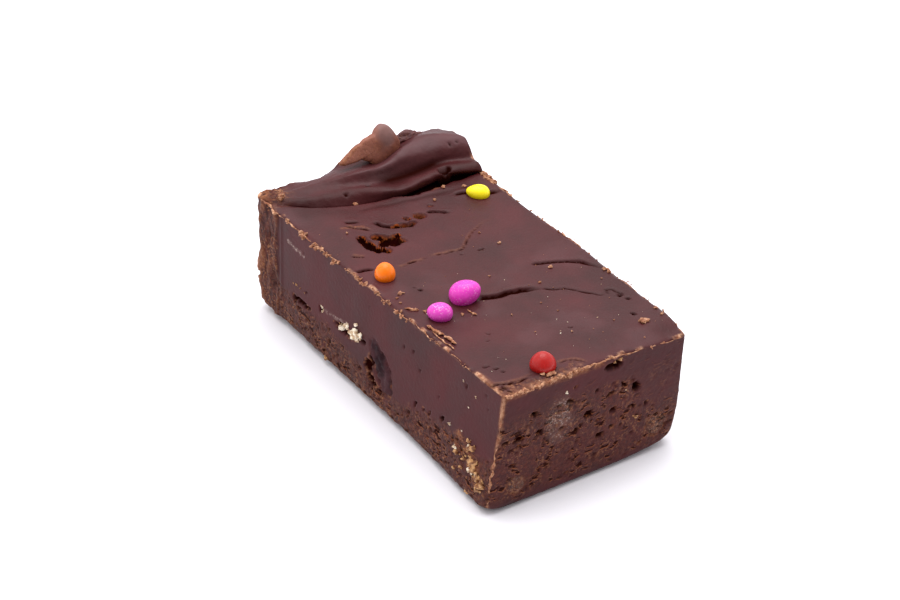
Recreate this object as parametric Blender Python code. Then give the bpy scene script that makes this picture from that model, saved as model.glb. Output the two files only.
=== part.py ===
"""A cut slice of chocolate fudge with a fold at its far end and five candies on top.

The slice lies with its length along X, its long cut side toward -Y and its cut end
toward +X. Sizes in the functions are millimetres; points become metres at the end.
"""
import bpy
import numpy as np

MM = 0.001

# Sizes of the slice
HALF_LENGTH = 45.0
HALF_WIDTH = 22.2
TOP_LEVEL = 26.4
FOOT_DROP = 0.8
CUT_EDGE_RADIUS = 0.7
FAR_EDGE_RADIUS = 1.6
FOOT_EDGE = {"near": 1.6, "far": 4.4, "front": 2.8, "back": 6.0}
FOOT_SHARE = 0.26
LAYER_LEVEL = 10.5
BAND_EDGE = -37.2

# Fineness of the meshes
CELLS = (116, 58, 34)
FUDGE_TRIANGLES = 8600
CANDY_SIDES = 18
CANDY_RINGS = 8
POCKET_GAP = 0.32

# The fold at the far end: how far along its section a place is, then X and Z there
# at the five stations across the slice. The first place is the crease under the lip,
# then come the lip, the roll, the valley, the ridge, the saddle, the crest, the edge.
FOLD_STATIONS = (-22.2, -11.0, 1.0, 12.0, 22.2)
FOLD_SECTION = (
    (0.00, (-44.5, -34.6, -32.4, -33.6, -32.2), (26.4, 25.9, 25.5, 25.0, 25.4)),
    (0.12, (-44.6, -35.0, -32.0, -31.0, -28.6), (26.5, 26.5, 26.7, 27.4, 27.5)),
    (0.21, (-44.7, -36.4, -33.2, -32.0, -30.0), (26.6, 27.1, 28.0, 28.9, 29.0)),
    (0.33, (-44.8, -38.0, -35.6, -34.8, -32.0), (26.6, 27.2, 27.6, 28.5, 30.4)),
    (0.58, (-44.9, -40.0, -39.0, -38.4, -34.4), (26.6, 27.8, 30.5, 32.0, 32.8)),
    (0.70, (-44.9, -41.3, -40.8, -40.4, -38.0), (26.6, 27.5, 30.2, 31.7, 32.1)),
    (0.86, (-45.3, -43.4, -43.0, -42.7, -41.5), (26.5, 27.2, 32.1, 32.7, 31.3)),
    (1.00, (-45.7, -45.7, -45.7, -45.5, -45.2), (26.3, 26.6, 30.4, 30.8, 30.2)),
)
FOLD_START = 1.2
SHOULDER = {"y": (-6.0, 10.5), "rise": 1.7}

# Lumps on the crest of the fold: centre, half sizes, tilt about X, height of its bumps
LUMPS = {
    "knob": ((-42.4, 7.4, 34.1), (2.7, 2.3, 3.0), -8.0, 0.15),
    "crumb": ((-43.2, 13.6, 32.3), (2.2, 3.4, 1.6), -6.0, 0.30),
}

# Grooves on the top: depth, width, height of the lip beside it, points it runs through
CREASES = (
    (0.60, 0.8, 0.45, ((12.6, -5.0), (14.5, -3.4), (15.2, -0.3), (16.3, 6.3), (18.2, 8.6))),
    (0.35, 0.6, 0.25, ((9.5, 13.4), (10.8, 17.5), (13.4, 20.7), (18.3, 23.4))),
    (0.16, 0.4, 0.10, ((-4.4, -12.3), (-3.1, -0.3), (-6.7, 6.5), (-12.2, 17.0), (-12.6, 22.4))),
    (0.40, 0.5, 0.10, ((-9.2, -20.0), (-6.6, -18.6), (-4.8, -17.4))),
)

# Torn craters on the top: x, y, half sizes along X and Y, depth
CRATERS = (
    (-17.5, -11.6, 1.5, 2.3, 1.3),
    (-14.8, -12.0, 1.3, 1.9, 1.5),
    (-13.4, -9.8, 1.0, 1.6, 1.1),
    (-17.2, -7.0, 1.7, 2.6, 1.3),
    (-18.6, -3.6, 1.4, 1.6, 1.0),
    (-20.9, -4.4, 0.9, 1.6, 0.8),
    (-19.6, 0.6, 1.1, 1.4, 1.0),
    (-20.0, 4.3, 0.9, 1.5, 0.8),
)

# Holes in the cut end: y, z, half width, half height, depth
END_HOLES = (
    (5.2, 24.2, 1.6, 0.7, 1.2),
    (11.3, 17.5, 1.0, 1.0, 2.0),
    (-12.3, 19.9, 1.2, 0.8, 1.4),
    (0.8, 14.9, 1.6, 1.5, 0.8),
)

# Hollows in the long cut side: x, z, half width, half height, depth
SIDE_HOLES = (
    (3.2, 10.3, 3.4, 5.4, 0.8),
    (-31.3, 8.7, 4.6, 0.6, 0.7),
    (-10.5, 11.0, 3.6, 1.0, 0.8),
)

# Candies: centre, half sizes across the view, along it and upward, colour
CANDY_HEADING = 56.95
CANDIES = {
    "candy_yellow": ((-20.37, 18.10, 27.34), (2.50, 1.90, 1.60), (0.96, 0.83, 0.10)),
    "candy_orange": ((-2.93, -16.04, 27.64), (2.10, 2.10, 2.25), (0.94, 0.36, 0.08)),
    "candy_magenta_large": ((12.38, -6.79, 27.71), (3.12, 2.80, 2.75), (0.80, 0.16, 0.58)),
    "candy_magenta_small": ((15.15, -14.50, 27.32), (2.55, 2.20, 1.95), (0.82, 0.20, 0.62)),
    "candy_red": ((40.75, -7.67, 27.63), (2.40, 2.40, 2.40), (0.60, 0.07, 0.06)),
}
FUDGE_COLOUR = (0.13, 0.065, 0.06)


def smooth(t):
    """Rise from 0 to 1 with level ends."""
    t = np.clip(t, 0.0, 1.0)
    return t * t * (3.0 - 2.0 * t)


def through(q, knots, values):
    """Cubic curve through the values; each slope is that between the neighbours."""
    knots = np.asarray(knots, float)
    rows = np.repeat(np.asarray(values, float)[:, None], len(q), axis=1)
    return spread(np.clip(q, knots[0], knots[-1]), knots, rows)


def spread(t, keys, rows):
    """Cubic through rows of values, one row for each key and one column for each point."""
    keys = np.asarray(keys, float)
    slope = np.gradient(rows, keys, axis=0)
    i = np.clip(np.searchsorted(keys, t, side="right") - 1, 0, len(keys) - 2)
    col = np.arange(rows.shape[1])
    h = keys[i + 1] - keys[i]
    f = (t - keys[i]) / h
    start = (1 + 2 * f) * (1 - f) ** 2 * rows[i, col] + f * (1 - f) ** 2 * h * slope[i, col]
    end = f * f * (3 - 2 * f) * rows[i + 1, col] + f * f * (f - 1) * h * slope[i + 1, col]
    return start + end


def noise(p, size, seed):
    """Value noise from -1 to 1: numbers on a cubic lattice of this size, blended."""
    q = np.asarray(p, float) / size + 1000.0
    cell = np.floor(q).astype(np.int64)
    f = smooth(q - cell)
    total = np.zeros(len(q))
    for corner in range(8):
        step = np.array([corner & 1, corner >> 1 & 1, corner >> 2 & 1])
        key = cell + step
        h = (key[:, 0] * 73856093) ^ (key[:, 1] * 19349663) ^ (key[:, 2] * 83492791)
        h = h ^ (seed * 2654435761)
        h = (h ^ (h >> 13)) * 1274126177 & 0xFFFFFFFF
        h = (h ^ (h >> 16)) & 0xFFFF
        total += np.prod(np.where(step == 1, f, 1.0 - f), axis=1) * h
    return total / 32767.5 - 1.0


def layered(p, size, seed, octaves=3):
    """Noise of halving sizes and heights, added up."""
    total = 0.0
    for k in range(octaves):
        total = total + noise(p, size / 2 ** k, seed + 11 * k) / 2 ** k
    return total


def lattice(na, nb, nc):
    """Surface of a box of na by nb by nc cells: its points from 0 to 1, and its quads."""
    index = -np.ones((na + 1, nb + 1, nc + 1), int)
    skin = np.zeros(index.shape, bool)
    skin[[0, -1]] = True
    skin[:, [0, -1]] = True
    skin[:, :, [0, -1]] = True
    index[skin] = np.arange(skin.sum())
    quads = []
    for axis in range(3):
        for side in (0, -1):
            g = np.take(index, side, axis=axis)
            q = np.stack([g[:-1, :-1], g[1:, :-1], g[1:, 1:], g[:-1, 1:]], -1).reshape(-1, 4)
            flip = (side == 0) != (axis == 1)
            quads.append(q[:, ::-1] if flip else q)
    return np.argwhere(skin) / [na, nb, nc], np.concatenate(quads)


def top_height(x, y):
    """Height of the top: level, raised along the back, lower along the near end, uneven."""
    z = TOP_LEVEL + 0.7 * smooth(-x / 45.0) * smooth(y / 22.0)
    z = z + 0.8 * smooth((y - 17.0) / 6.5) * (1 - smooth((x - 8.0) / 14.0))
    z = z - 1.6 * smooth((x - 39.5) / 5.5) * smooth((y + 2.0) / 26.0)
    p = np.stack([x, y, 0 * x], 1)
    return z + 0.22 * noise(p, 11.0, 3) + 0.08 * noise(p, 4.0, 5)


def along(x, y, points):
    """Distance to a bent line, the place along it from 0 to 1, and the side."""
    points = np.asarray(points, float)
    best = np.full(len(x), 1e9)
    where = np.zeros(len(x))
    side = np.zeros(len(x))
    count = len(points) - 1
    for k in range(count):
        a = points[k]
        d = points[k + 1] - a
        t = np.clip(((x - a[0]) * d[0] + (y - a[1]) * d[1]) / (d @ d), 0, 1)
        ex = x - a[0] - t * d[0]
        ey = y - a[1] - t * d[1]
        r = np.hypot(ex, ey)
        near = r < best
        best = np.where(near, r, best)
        where = np.where(near, (k + t) / count, where)
        side = np.where(near, np.sign(d[0] * ey - d[1] * ex), side)
    return best, where, side


def holes(p, q, rows):
    """Hollows with steep walls at the named places."""
    total = 0.0
    for cp, cq, hp, hq, deep in rows:
        d = ((p - cp) / hp) ** 2 + ((q - cq) / hq) ** 2
        total = np.maximum(total, deep * smooth((1.35 - d) / 0.9))
    return total


def block(c):
    """The slice: a worn box with rounded foot edges, its top lofted into the fold."""
    a = 2 * c[:, 0] - 1
    b = 2 * c[:, 1] - 1
    w = c[:, 2]
    wa = np.abs(a) ** 4 + 1e-9
    wb = np.abs(b) ** 4 + 1e-9
    ra = np.where(a > 0, FOOT_EDGE["near"], FOOT_EDGE["far"])
    rb = np.where(b > 0, FOOT_EDGE["back"], FOOT_EDGE["front"])
    r = (wa * ra + wb * rb) / (wa + wb)
    turn = np.clip(w / FOOT_SHARE, 0, 1) * np.pi / 2
    inset = r * (1 - np.sin(turn))
    rise = r * (1 - np.cos(turn)) - FOOT_DROP
    half_x = HALF_LENGTH - inset + 1.2 * smooth((-a - 0.5) / 0.5)
    half_y = HALF_WIDTH - inset
    x = a * half_x
    y = b * half_y

    # vertical corners, rounder toward the foot
    rho = np.where(a > 0, CUT_EDGE_RADIUS, FAR_EDGE_RADIUS)
    rho = rho + 3.0 * (1 - np.clip(w / 0.35, 0, 1)) ** 2
    dx = np.maximum(np.abs(x) - (half_x - rho), 0)
    dy = np.maximum(np.abs(y) - (half_y - rho), 0)
    k = np.maximum(dx, dy) / np.maximum(np.hypot(dx, dy), 1e-9)
    k = np.where((dx > 0) & (dy > 0), k, 1.0)
    x = np.sign(x) * (np.minimum(np.abs(x), half_x - rho) + dx * k)
    y = np.sign(y) * (np.minimum(np.abs(y), half_y - rho) + dy * k)

    # height, straight between the foot edge and the top
    top = top_height(x, y)
    up = np.clip((w - FOOT_SHARE) / (1 - FOOT_SHARE), 0, 1)
    z = rise + (top - r + FOOT_DROP) * up

    # fold: the top beyond the crease runs along the section
    crease = through(y, FOLD_STATIONS, FOLD_SECTION[0][1])
    s = np.clip((crease + FOLD_START - x) / (crease + FOLD_START + HALF_LENGTH), 0, 1)
    t = np.clip((s - 0.06) / 0.94, 0, 1)
    keys = [row[0] for row in FOLD_SECTION]
    fold_x = spread(t, keys, np.stack([through(y, FOLD_STATIONS, row[1]) for row in FOLD_SECTION]))
    fold_z = spread(t, keys, np.stack([through(y, FOLD_STATIONS, row[2]) for row in FOLD_SECTION]))
    shoulder = smooth((y - SHOULDER["y"][0]) / 7.0) * smooth((SHOULDER["y"][1] - y) / 3.0)
    fold_z = fold_z + SHOULDER["rise"] * shoulder * smooth((t - 0.72) / 0.12)
    on = smooth(s / 0.06) * smooth((y + HALF_WIDTH) / 6.0 + 0.35)
    lift = np.where(w > 0.999, 1.0, smooth((w - 0.70) / 0.30))
    x = x + (fold_x - x) * on * lift
    z = z + (fold_z - top) * on * lift

    # long side leans in upward and flares at the near foot; back side leans out
    near = smooth((a + 1) / 2)
    front = smooth((1 - b) / 2) ** 2
    lean = (0.9 + 1.7 * near) * z / 26.0
    flare = 1.7 * smooth((a - 0.25) / 0.75) * smooth((19 - z) / 13.0)
    y = y + front * (lean - flare)
    y = y + smooth((1 + b) / 2) ** 2 * 1.5 * z / 26.0 * (0.7 + 0.3 * near)
    return relief(np.stack([x, y, z], 1), c)


def relief(p, c):
    """Grooves and craters of the top, the torn far band, pores of the cut faces."""
    x, y, z = p.T.copy()
    is_top = c[:, 2] > 0.999
    is_front = c[:, 1] < 0.001
    is_back = c[:, 1] > 0.999
    is_end = c[:, 0] > 0.999
    is_far = c[:, 0] < 0.001
    flat = p * [1, 1, 0]

    # top
    down = 0.0
    for depth, width, lip, points in CREASES:
        d, s, side = along(x, y, points)
        fade = smooth(s / 0.2) * smooth((1 - s) / 0.35)
        down = down + fade * depth * np.exp(-(d / width) ** 2)
        ridge = np.exp(-((d - 1.6 * width) / (1.5 * width)) ** 2)
        down = down - fade * lip * np.where(side > 0, 1, 0.25) * ridge
    pit = holes(x + 0.45 * noise(flat, 1.3, 21), y + 0.5 * noise(flat, 1.1, 22), CRATERS)
    down = down + pit * (1 + 0.35 * noise(flat, 0.9, 23))
    edge = np.minimum(np.minimum(c[:, 1], 1 - c[:, 1]) * 44.4, (1 - c[:, 0]) * 90)
    worn = 0.5 * np.exp(-(edge / 0.6) ** 2)
    burr = 0.45 * np.exp(-((edge - 0.7) / 0.6) ** 2) * np.clip(layered(p, 1.6, 31, 2), 0, 1)
    z = np.where(is_top, z - down - worn + burr, z)

    # torn band at the far end of the long side, and the far end itself
    band = smooth((BAND_EDGE + 0.6 * noise(p * [0, 1, 1], 3.0, 41) - x) / 1.2)
    torn = layered(p * [1, 1, 0.45], 2.2, 42, 3)
    y = np.where(is_front, y + band * (0.25 - 0.5 * torn), y)
    x = np.where(is_far, x - 0.5 * torn, x)

    # porous foot of the long sides
    level = LAYER_LEVEL + 1.2 * noise(p * [1, 0, 0], 9.0, 43)
    foot = smooth((level - z) / 1.5) * smooth((z + FOOT_DROP) / 2.0)
    pores = layered(p * [0.6, 1, 1], 1.5, 44, 3)
    y = np.where(is_front, y + foot * (1 - band) * 0.38 * pores + holes(x, z, SIDE_HOLES), y)
    y = np.where(is_back, y - 0.25 * foot * pores, y)

    # near end
    fade = smooth((22.5 - z) / 6.0) * smooth((z + FOOT_DROP) / 2.0)
    cut = layered(p * [1, 0.5, 1.2], 1.6, 45, 3) * fade
    x = np.where(is_end, x - 0.35 * np.clip(cut, -0.2, 1.2) - holes(y, z, END_HOLES), x)
    return np.stack([x, y, z], 1)


def ellipsoid(centre, half, grow, sides, rings, heading=CANDY_HEADING, tilt=0.0, bumps=0.0):
    """Closed ball of rings between two poles, pulled to three half sizes and turned."""
    half = np.asarray(half) + grow
    lat = np.pi * np.arange(1, rings) / rings
    lon = 2 * np.pi * np.arange(sides) / sides
    lat, lon = np.meshgrid(lat, lon, indexing="ij")
    ball = np.stack([np.sin(lat) * np.cos(lon), np.sin(lat) * np.sin(lon), np.cos(lat)], -1)
    ball = np.concatenate([[[0, 0, 1]], ball.reshape(-1, 3), [[0, 0, -1]]]) * half
    ball = ball * (1 + bumps * layered(ball, 1.7, 61, 2)[:, None] / half.min())
    h = np.radians(heading)
    turn = np.array([[np.cos(h), -np.sin(h), 0], [np.sin(h), np.cos(h), 0], [0, 0, 1]])
    h = np.radians(tilt)
    turn = turn @ np.array([[1, 0, 0], [0, np.cos(h), -np.sin(h)], [0, np.sin(h), np.cos(h)]])
    faces = []
    last = 1 + (rings - 1) * sides
    for k in range(sides):
        n = (k + 1) % sides
        faces.append((0, 1 + k, 1 + n))
        faces.append((last, last - sides + n, last - sides + k))
        for j in range(rings - 2):
            a = 1 + j * sides
            b = a + sides
            faces.append((a + k, b + k, b + n, a + n))
    return ball @ turn.T + centre, faces


def material(name, colour, rough):
    """Plain material of this colour and roughness."""
    m = bpy.data.materials.new(name)
    m.use_nodes = True
    shader = m.node_tree.nodes["Principled BSDF"]
    shader.inputs["Base Color"].default_value = (*colour, 1.0)
    shader.inputs["Roughness"].default_value = rough
    return m


def add_object(name, points, faces, mat, even=True):
    """Object from points in millimetres, shaded smooth."""
    mesh = bpy.data.meshes.new(name)
    faces = faces.tolist() if hasattr(faces, "tolist") else faces
    mesh.from_pydata((np.asarray(points) * MM).tolist(), [], faces)
    mesh.polygons.foreach_set("use_smooth", np.full(len(mesh.polygons), even))
    if mat is not None:
        mesh.materials.append(mat)
    mesh.update()
    obj = bpy.data.objects.new(name, mesh)
    bpy.context.scene.collection.objects.link(obj)
    return obj


def settle(obj):
    """Replace the object's mesh by what its modifiers make of it."""
    bpy.context.view_layer.update()
    graph = bpy.context.evaluated_depsgraph_get()
    mesh = bpy.data.meshes.new_from_object(obj.evaluated_get(graph))
    old = obj.data
    obj.modifiers.clear()
    obj.data = mesh
    bpy.data.meshes.remove(old)
    mesh.name = obj.name


def combine(obj, other, operation):
    """Join the other mesh to the object or cut it out, and remove the other."""
    other.display_type = "WIRE"
    other.hide_render = True
    step = obj.modifiers.new("step", "BOOLEAN")
    step.operation = operation
    step.solver = "EXACT"
    step.object = other
    settle(obj)
    bpy.data.objects.remove(other)


def build():
    """Make the slice, its pockets and the five candies, centred over the origin."""
    for old in list(bpy.data.objects):
        bpy.data.objects.remove(old)

    cells, quads = lattice(*CELLS)
    points = block(cells)
    low = points.min(0)
    high = points.max(0)
    shift = np.array([-(low[0] + high[0]) / 2, -(low[1] + high[1]) / 2, -low[2]])

    fudge = add_object("fudge", points + shift, quads, material("fudge", FUDGE_COLOUR, 0.42))
    for centre, half, tilt, bumps in LUMPS.values():
        ball, faces = ellipsoid(centre, half, 0.0, 32, 20, 0.0, tilt, bumps)
        combine(fudge, add_object("lump", ball + shift, faces, None), "UNION")

    thin = fudge.modifiers.new("thin", "DECIMATE")
    thin.ratio = FUDGE_TRIANGLES / (2.0 * len(quads))
    thin.use_collapse_triangulate = True
    settle(fudge)

    for name, (centre, half, colour) in CANDIES.items():
        ball, faces = ellipsoid(centre, half, 0.0, CANDY_SIDES, CANDY_RINGS)
        add_object(name, ball + shift, faces, material(name, colour, 0.35))
        ball, faces = ellipsoid(centre, half, POCKET_GAP, CANDY_SIDES, CANDY_RINGS)
        combine(fudge, add_object("pocket", ball + shift, faces, None), "DIFFERENCE")


build()
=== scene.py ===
"""Looks of a cut slice of chocolate fudge with five sugar-coated candies on its top.

Lengths in the shape functions are millimetres in the slice's own frame, before SHIFT
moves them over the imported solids; place() turns them into metres.
"""

import bpy
import numpy as np
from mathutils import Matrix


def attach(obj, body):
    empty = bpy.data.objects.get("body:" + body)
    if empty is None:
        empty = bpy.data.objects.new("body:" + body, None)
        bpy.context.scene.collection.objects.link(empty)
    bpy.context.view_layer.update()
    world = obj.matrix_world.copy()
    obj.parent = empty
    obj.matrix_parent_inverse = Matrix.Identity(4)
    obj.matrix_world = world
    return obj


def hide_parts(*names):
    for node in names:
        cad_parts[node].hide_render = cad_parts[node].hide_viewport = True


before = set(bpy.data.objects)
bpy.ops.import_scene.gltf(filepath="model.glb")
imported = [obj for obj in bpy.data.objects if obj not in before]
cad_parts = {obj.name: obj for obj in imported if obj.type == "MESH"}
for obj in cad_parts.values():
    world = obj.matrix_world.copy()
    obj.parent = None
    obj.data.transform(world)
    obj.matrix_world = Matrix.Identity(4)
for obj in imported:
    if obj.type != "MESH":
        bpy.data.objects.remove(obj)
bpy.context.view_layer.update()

MM = 0.001
SHIFT = np.array([0.871, 0.133, 0.800])

# Camera: 96 mm lens, 32.5 degrees down, 57 degrees round from the long cut side
CAMERA_AT = (350.07, -229.37, 283.80)
CAMERA_LENS = 96.0
CAMERA_DOWN = 32.47
CAMERA_ROUND = 56.95

# Three directions at right angles, none of them along the slice
TILTED = np.array([[0.64, -0.48, 0.60], [0.60, 0.80, 0.00], [-0.48, 0.36, 0.80]])

# Sizes of the slice, as its solid has them; WALL_HEIGHT turns a share of the grid's height
# into a distance below the top edge, and the torn band of the long side ends at BAND_EDGE
HALF_LENGTH = 45.0
HALF_WIDTH = 22.2
LENGTH = 2 * HALF_LENGTH
WIDTH = 2 * HALF_WIDTH
WALL_HEIGHT = 21.0
BAND_EDGE = -37.2
TOP_LEVEL = 26.4
FOOT_DROP = 0.8
CUT_EDGE_RADIUS = 0.5
FAR_EDGE_RADIUS = 1.6
FOOT_EDGE = {"near": 2.0, "far": 4.4, "front": 2.8, "back": 6.0}

# Cells of the grid along, across and up; a share past LAST is on the far face of an axis
# and one before FIRST on its near face; FAR_OFF stands for a distance that never matters.
# The first FAR_CELLS of the cells along get FAR_SHARE of the length, because the fold
# stretches them, and the first FOOT_SHARE of those up make the rounded foot edge
CELLS = (252, 124, 76)
FIRST = 0.001
LAST = 0.999
FAR_OFF = 99.0
FAR_CELLS = 0.24
FAR_SHARE = 0.165
FOOT_SHARE = 0.26

# The fold at the far end, pulled up like a tongue: X and Z of each line of its section
# at the stations across the slice, and how far along the section the line is
FOLD_STATIONS = (-22.2, -14.0, -7.0, -1.0, 5.0, 10.0, 15.0, 22.2)
FOLD_LINES = (
    (0.00, "crease",
     (-41.5, -35.8, -32.8, -31.3, -31.0, -32.0, -32.5, -30.5),
     (26.2, 25.7, 25.4, 25.3, 25.0, 24.9, 24.9, 25.2)),
    (0.15, "under the lip",
     (-41.8, -36.1, -33.0, -31.3, -29.9, -29.5, -28.9, -27.0),
     (26.4, 26.3, 26.2, 26.2, 26.3, 27.1, 27.9, 27.8)),
    (0.20, "lip",
     (-42.1, -36.9, -33.9, -31.6, -29.8, -29.2, -28.4, -26.6),
     (26.5, 27.0, 27.4, 27.4, 27.3, 28.3, 28.7, 28.3)),
    (0.27, "lip top",
     (-42.5, -37.9, -35.2, -32.9, -31.2, -30.3, -29.8, -27.8),
     (26.6, 27.3, 28.0, 28.2, 27.7, 28.8, 29.5, 29.5)),
    (0.36, "valley",
     (-43.0, -39.2, -36.8, -35.0, -34.9, -34.2, -33.4, -30.0),
     (26.6, 27.1, 28.0, 28.1, 27.1, 27.4, 28.7, 29.7)),
    (0.44, "wall",
     (-43.4, -40.4, -37.9, -35.9, -36.2, -35.4, -34.2, -31.0),
     (26.7, 27.2, 28.2, 28.8, 28.1, 29.0, 30.0, 31.0)),
    (0.52, "shoulder",
     (-43.8, -41.3, -38.7, -36.5, -36.8, -36.2, -35.2, -31.7),
     (26.7, 27.4, 28.6, 29.8, 29.5, 30.7, 31.3, 31.9)),
    (0.62, "ridge",
     (-44.2, -42.1, -39.5, -37.2, -37.7, -38.2, -37.2, -33.4),
     (26.6, 27.5, 28.9, 30.3, 30.0, 31.9, 32.6, 33.1)),
    (0.76, "saddle",
     (-44.7, -43.2, -41.6, -40.0, -40.5, -40.5, -39.6, -37.0),
     (26.5, 27.2, 28.5, 29.5, 29.0, 30.8, 32.9, 32.7)),
    (0.88, "crest",
     (-45.2, -44.5, -43.8, -43.0, -43.0, -43.0, -42.5, -41.5),
     (26.5, 27.1, 27.7, 28.8, 29.5, 30.3, 31.6, 31.5)),
    (1.00, "edge",
     (-45.7, -45.7, -45.7, -45.7, -45.6, -45.6, -45.5, -45.3),
     (26.4, 27.1, 26.2, 28.7, 31.0, 30.6, 30.2, 30.0)),
)
# Near bank of the dark gap under the lip of the fold: Y and X; how deep the gap is, and how
# far before the crease the fold's section starts
BANK = (
    (-1.0, -31.3), (1.0, -30.5), (3.9, -29.1), (5.8, -28.1), (7.9, -27.5), (10.3, -27.2), (14.4, -27.6),
    (22.8, -27.4),
)
GAP_DEPTH = 1.3
FOLD_START = 1.2

# Outline of the torn flake behind the fold, as Y and Z; the middle of its place in X, how
# far it leans for each millimetre of height, half its thickness, how far it is sunk
FLAKE = (
    (-4.0, 31.0), (-0.9, 33.0), (2.1, 34.3), (4.2, 35.1), (5.7, 35.4), (6.5, 36.5), (7.9, 37.1),
    (9.4, 36.5), (10.8, 34.5), (11.7, 32.4), (11.5, 30.9), (9.4, 29.6), (7.6, 28.7), (6.0, 28.3),
    (3.6, 30.2), (1.6, 31.2), (-1.5, 30.9),
)
FLAKE_AT = {"x": -41.9, "lean": -0.25, "thick": 0.9, "sunk": 0.6}
# Crumb that sits on the crest: centre, half sizes
CREST_CRUMB = ((-43.6, 15.0, 31.0), (1.6, 3.3, 1.5))

# Grooves on the top: depth, width, height of the lip beside it, points it runs through
CREASES = (
    (0.90, 0.45, 0.55, (
        (14.0, -5.2), (14.8, -2.4), (15.5, -0.4), (15.8, 1.8), (16.4, 3.8), (16.9, 6.6), (18.2, 9.6),
    )),
    (0.45, 0.32, 0.30, (
        (8.8, 11.5), (9.7, 13.6), (10.8, 16.7), (13.5, 20.3), (15.9, 21.6), (19.6, 23.8),
    )),
    (0.30, 0.31, 0.10, (
        (17.4, 8.0), (18.9, 9.8), (20.0, 12.4), (22.7, 14.5), (25.6, 16.8), (26.8, 18.6),
    )),
    (0.22, 0.31, 0.02, (
        (26.6, 18.2), (24.6, 18.9), (25.4, 20.1), (27.7, 20.7), (28.4, 19.8), (26.4, 18.2),
    )),
    (0.34, 0.17, 0.16, ((-4.8, -12.3), (-4.7, -9.0), (-4.7, -6.6), (-5.1, -4.3))),
    (0.26, 0.15, 0.08, (
        (-5.2, -4.8), (-4.8, -1.6), (-4.3, 1.7), (-4.1, 3.3), (-5.7, 5.4), (-7.6, 7.6), (-9.8, 11.6),
        (-12.0, 19.0),
    )),
    (0.65, 0.40, 0.15, ((-8.2, -19.6), (-7.6, -17.8), (-6.6, -15.6))),
    (0.40, 0.25, 0.10, ((-13.8, -17.4), (-12.8, -16.1), (-11.9, -15.0))),
    (0.40, 0.25, 0.15, ((-24.6, -12.6), (-22.3, -10.2), (-20.0, -8.6))),
    (0.30, 0.50, 0.10, ((-26.2, -11.6), (-25.4, -10.0), (-24.8, -8.6))),
    (1.30, 0.42, 0.10, (
        (-23.6, -6.3), (-21.2, -5.9), (-19.6, -4.6), (-18.6, -2.8), (-17.9, -1.0), (-18.4, 0.8),
        (-19.5, 1.6),
    )),
    (1.00, 0.30, 0.20, ((-20.8, 5.2), (-19.4, 6.6), (-18.4, 8.0), (-17.6, 9.6))),
    (0.12, 0.90, 0.06, ((-29.5, -8.0), (-28.2, -1.0), (-26.6, 5.0), (-25.0, 13.0), (-23.4, 19.0))),
    (0.60, 0.45, 0.20, ((-23.6, 13.4), (-22.2, 16.5), (-20.3, 18.6), (-19.2, 21.2), (-17.9, 23.4))),
    (0.35, 0.22, 0.12, ((40.4, -20.0), (41.6, -17.0), (42.2, -13.6), (41.8, -10.4))),
    (0.20, 0.20, 0.06, ((41.3, -5.0), (42.0, -1.5), (44.6, 0.7))),
)
# Torn craters and pits of the top: X, Y, half sizes along X and Y, depth
CRATERS = (
    (-18.4, -12.0, 1.2, 0.9, 1.3), (-16.8, -12.3, 1.4, 1.0, 1.6), (-14.7, -12.1, 1.5, 1.1, 1.7),
    (-12.8, -11.2, 1.3, 1.1, 1.5), (-11.7, -10.1, 0.9, 0.9, 1.1), (-17.5, -9.0, 1.2, 1.2, 0.8),
    (-16.2, -8.0, 1.2, 1.4, 1.0), (-14.8, -7.2, 1.4, 1.4, 1.1), (-13.6, -6.0, 1.1, 1.2, 0.8),
    (-14.3, -9.0, 1.1, 1.2, 0.8), (-15.6, -5.8, 1.0, 1.1, 0.8), (-13.0, -7.4, 0.9, 1.0, 0.8),
    (-19.4, -3.6, 0.5, 1.0, 1.2), (-18.6, -2.2, 0.6, 1.0, 1.4), (-18.0, -0.8, 0.6, 0.9, 1.3),
    (-18.5, 0.5, 0.7, 0.7, 1.0), (-20.9, 0.4, 0.7, 0.7, 0.9), (-20.0, 2.9, 1.1, 1.1, 1.0),
    (-22.5, 7.3, 0.4, 0.5, 0.6),
)
PITS = (
    (28.0, 20.1, 0.4, 0.5, 0.5), (29.9, 20.5, 0.4, 0.4, 0.8), (35.2, 18.0, 0.6, 0.4, 0.9),
    (32.4, 4.8, 0.35, 0.35, 0.6), (-1.7, 6.4, 0.24, 0.64, 0.5), (-2.4, 2.2, 0.28, 0.32, 0.4),
    (4.8, -12.6, 0.4, 0.4, 0.6), (3.4, -13, 0.32, 0.24, 0.4), (25.3, -9.9, 0.4, 0.4, 0.3),
    (27.3, -11.4, 0.4, 0.4, 0.3), (34.7, -16.7, 0.32, 0.64, 0.5), (36.3, -15.4, 0.32, 0.56, 0.5),
    (37.8, -14.9, 0.32, 0.4, 0.4), (42.4, -17.7, 0.4, 0.4, 0.6), (-29.6, 15.5, 1.0, 1.4, 2.2),
    (-34.2, 19.9, 0.26, 0.3, 0.4), (-33.8, 21.3, 0.26, 0.26, 0.4), (-34.5, -6.3, 0.4, 0.56, 0.4),
    (-34.3, -0.9, 0.56, 0.72, 0.35), (39.6, -20.4, 0.4, 0.56, 0.5), (41, -18.8, 0.32, 0.48, 0.5),
)
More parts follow.
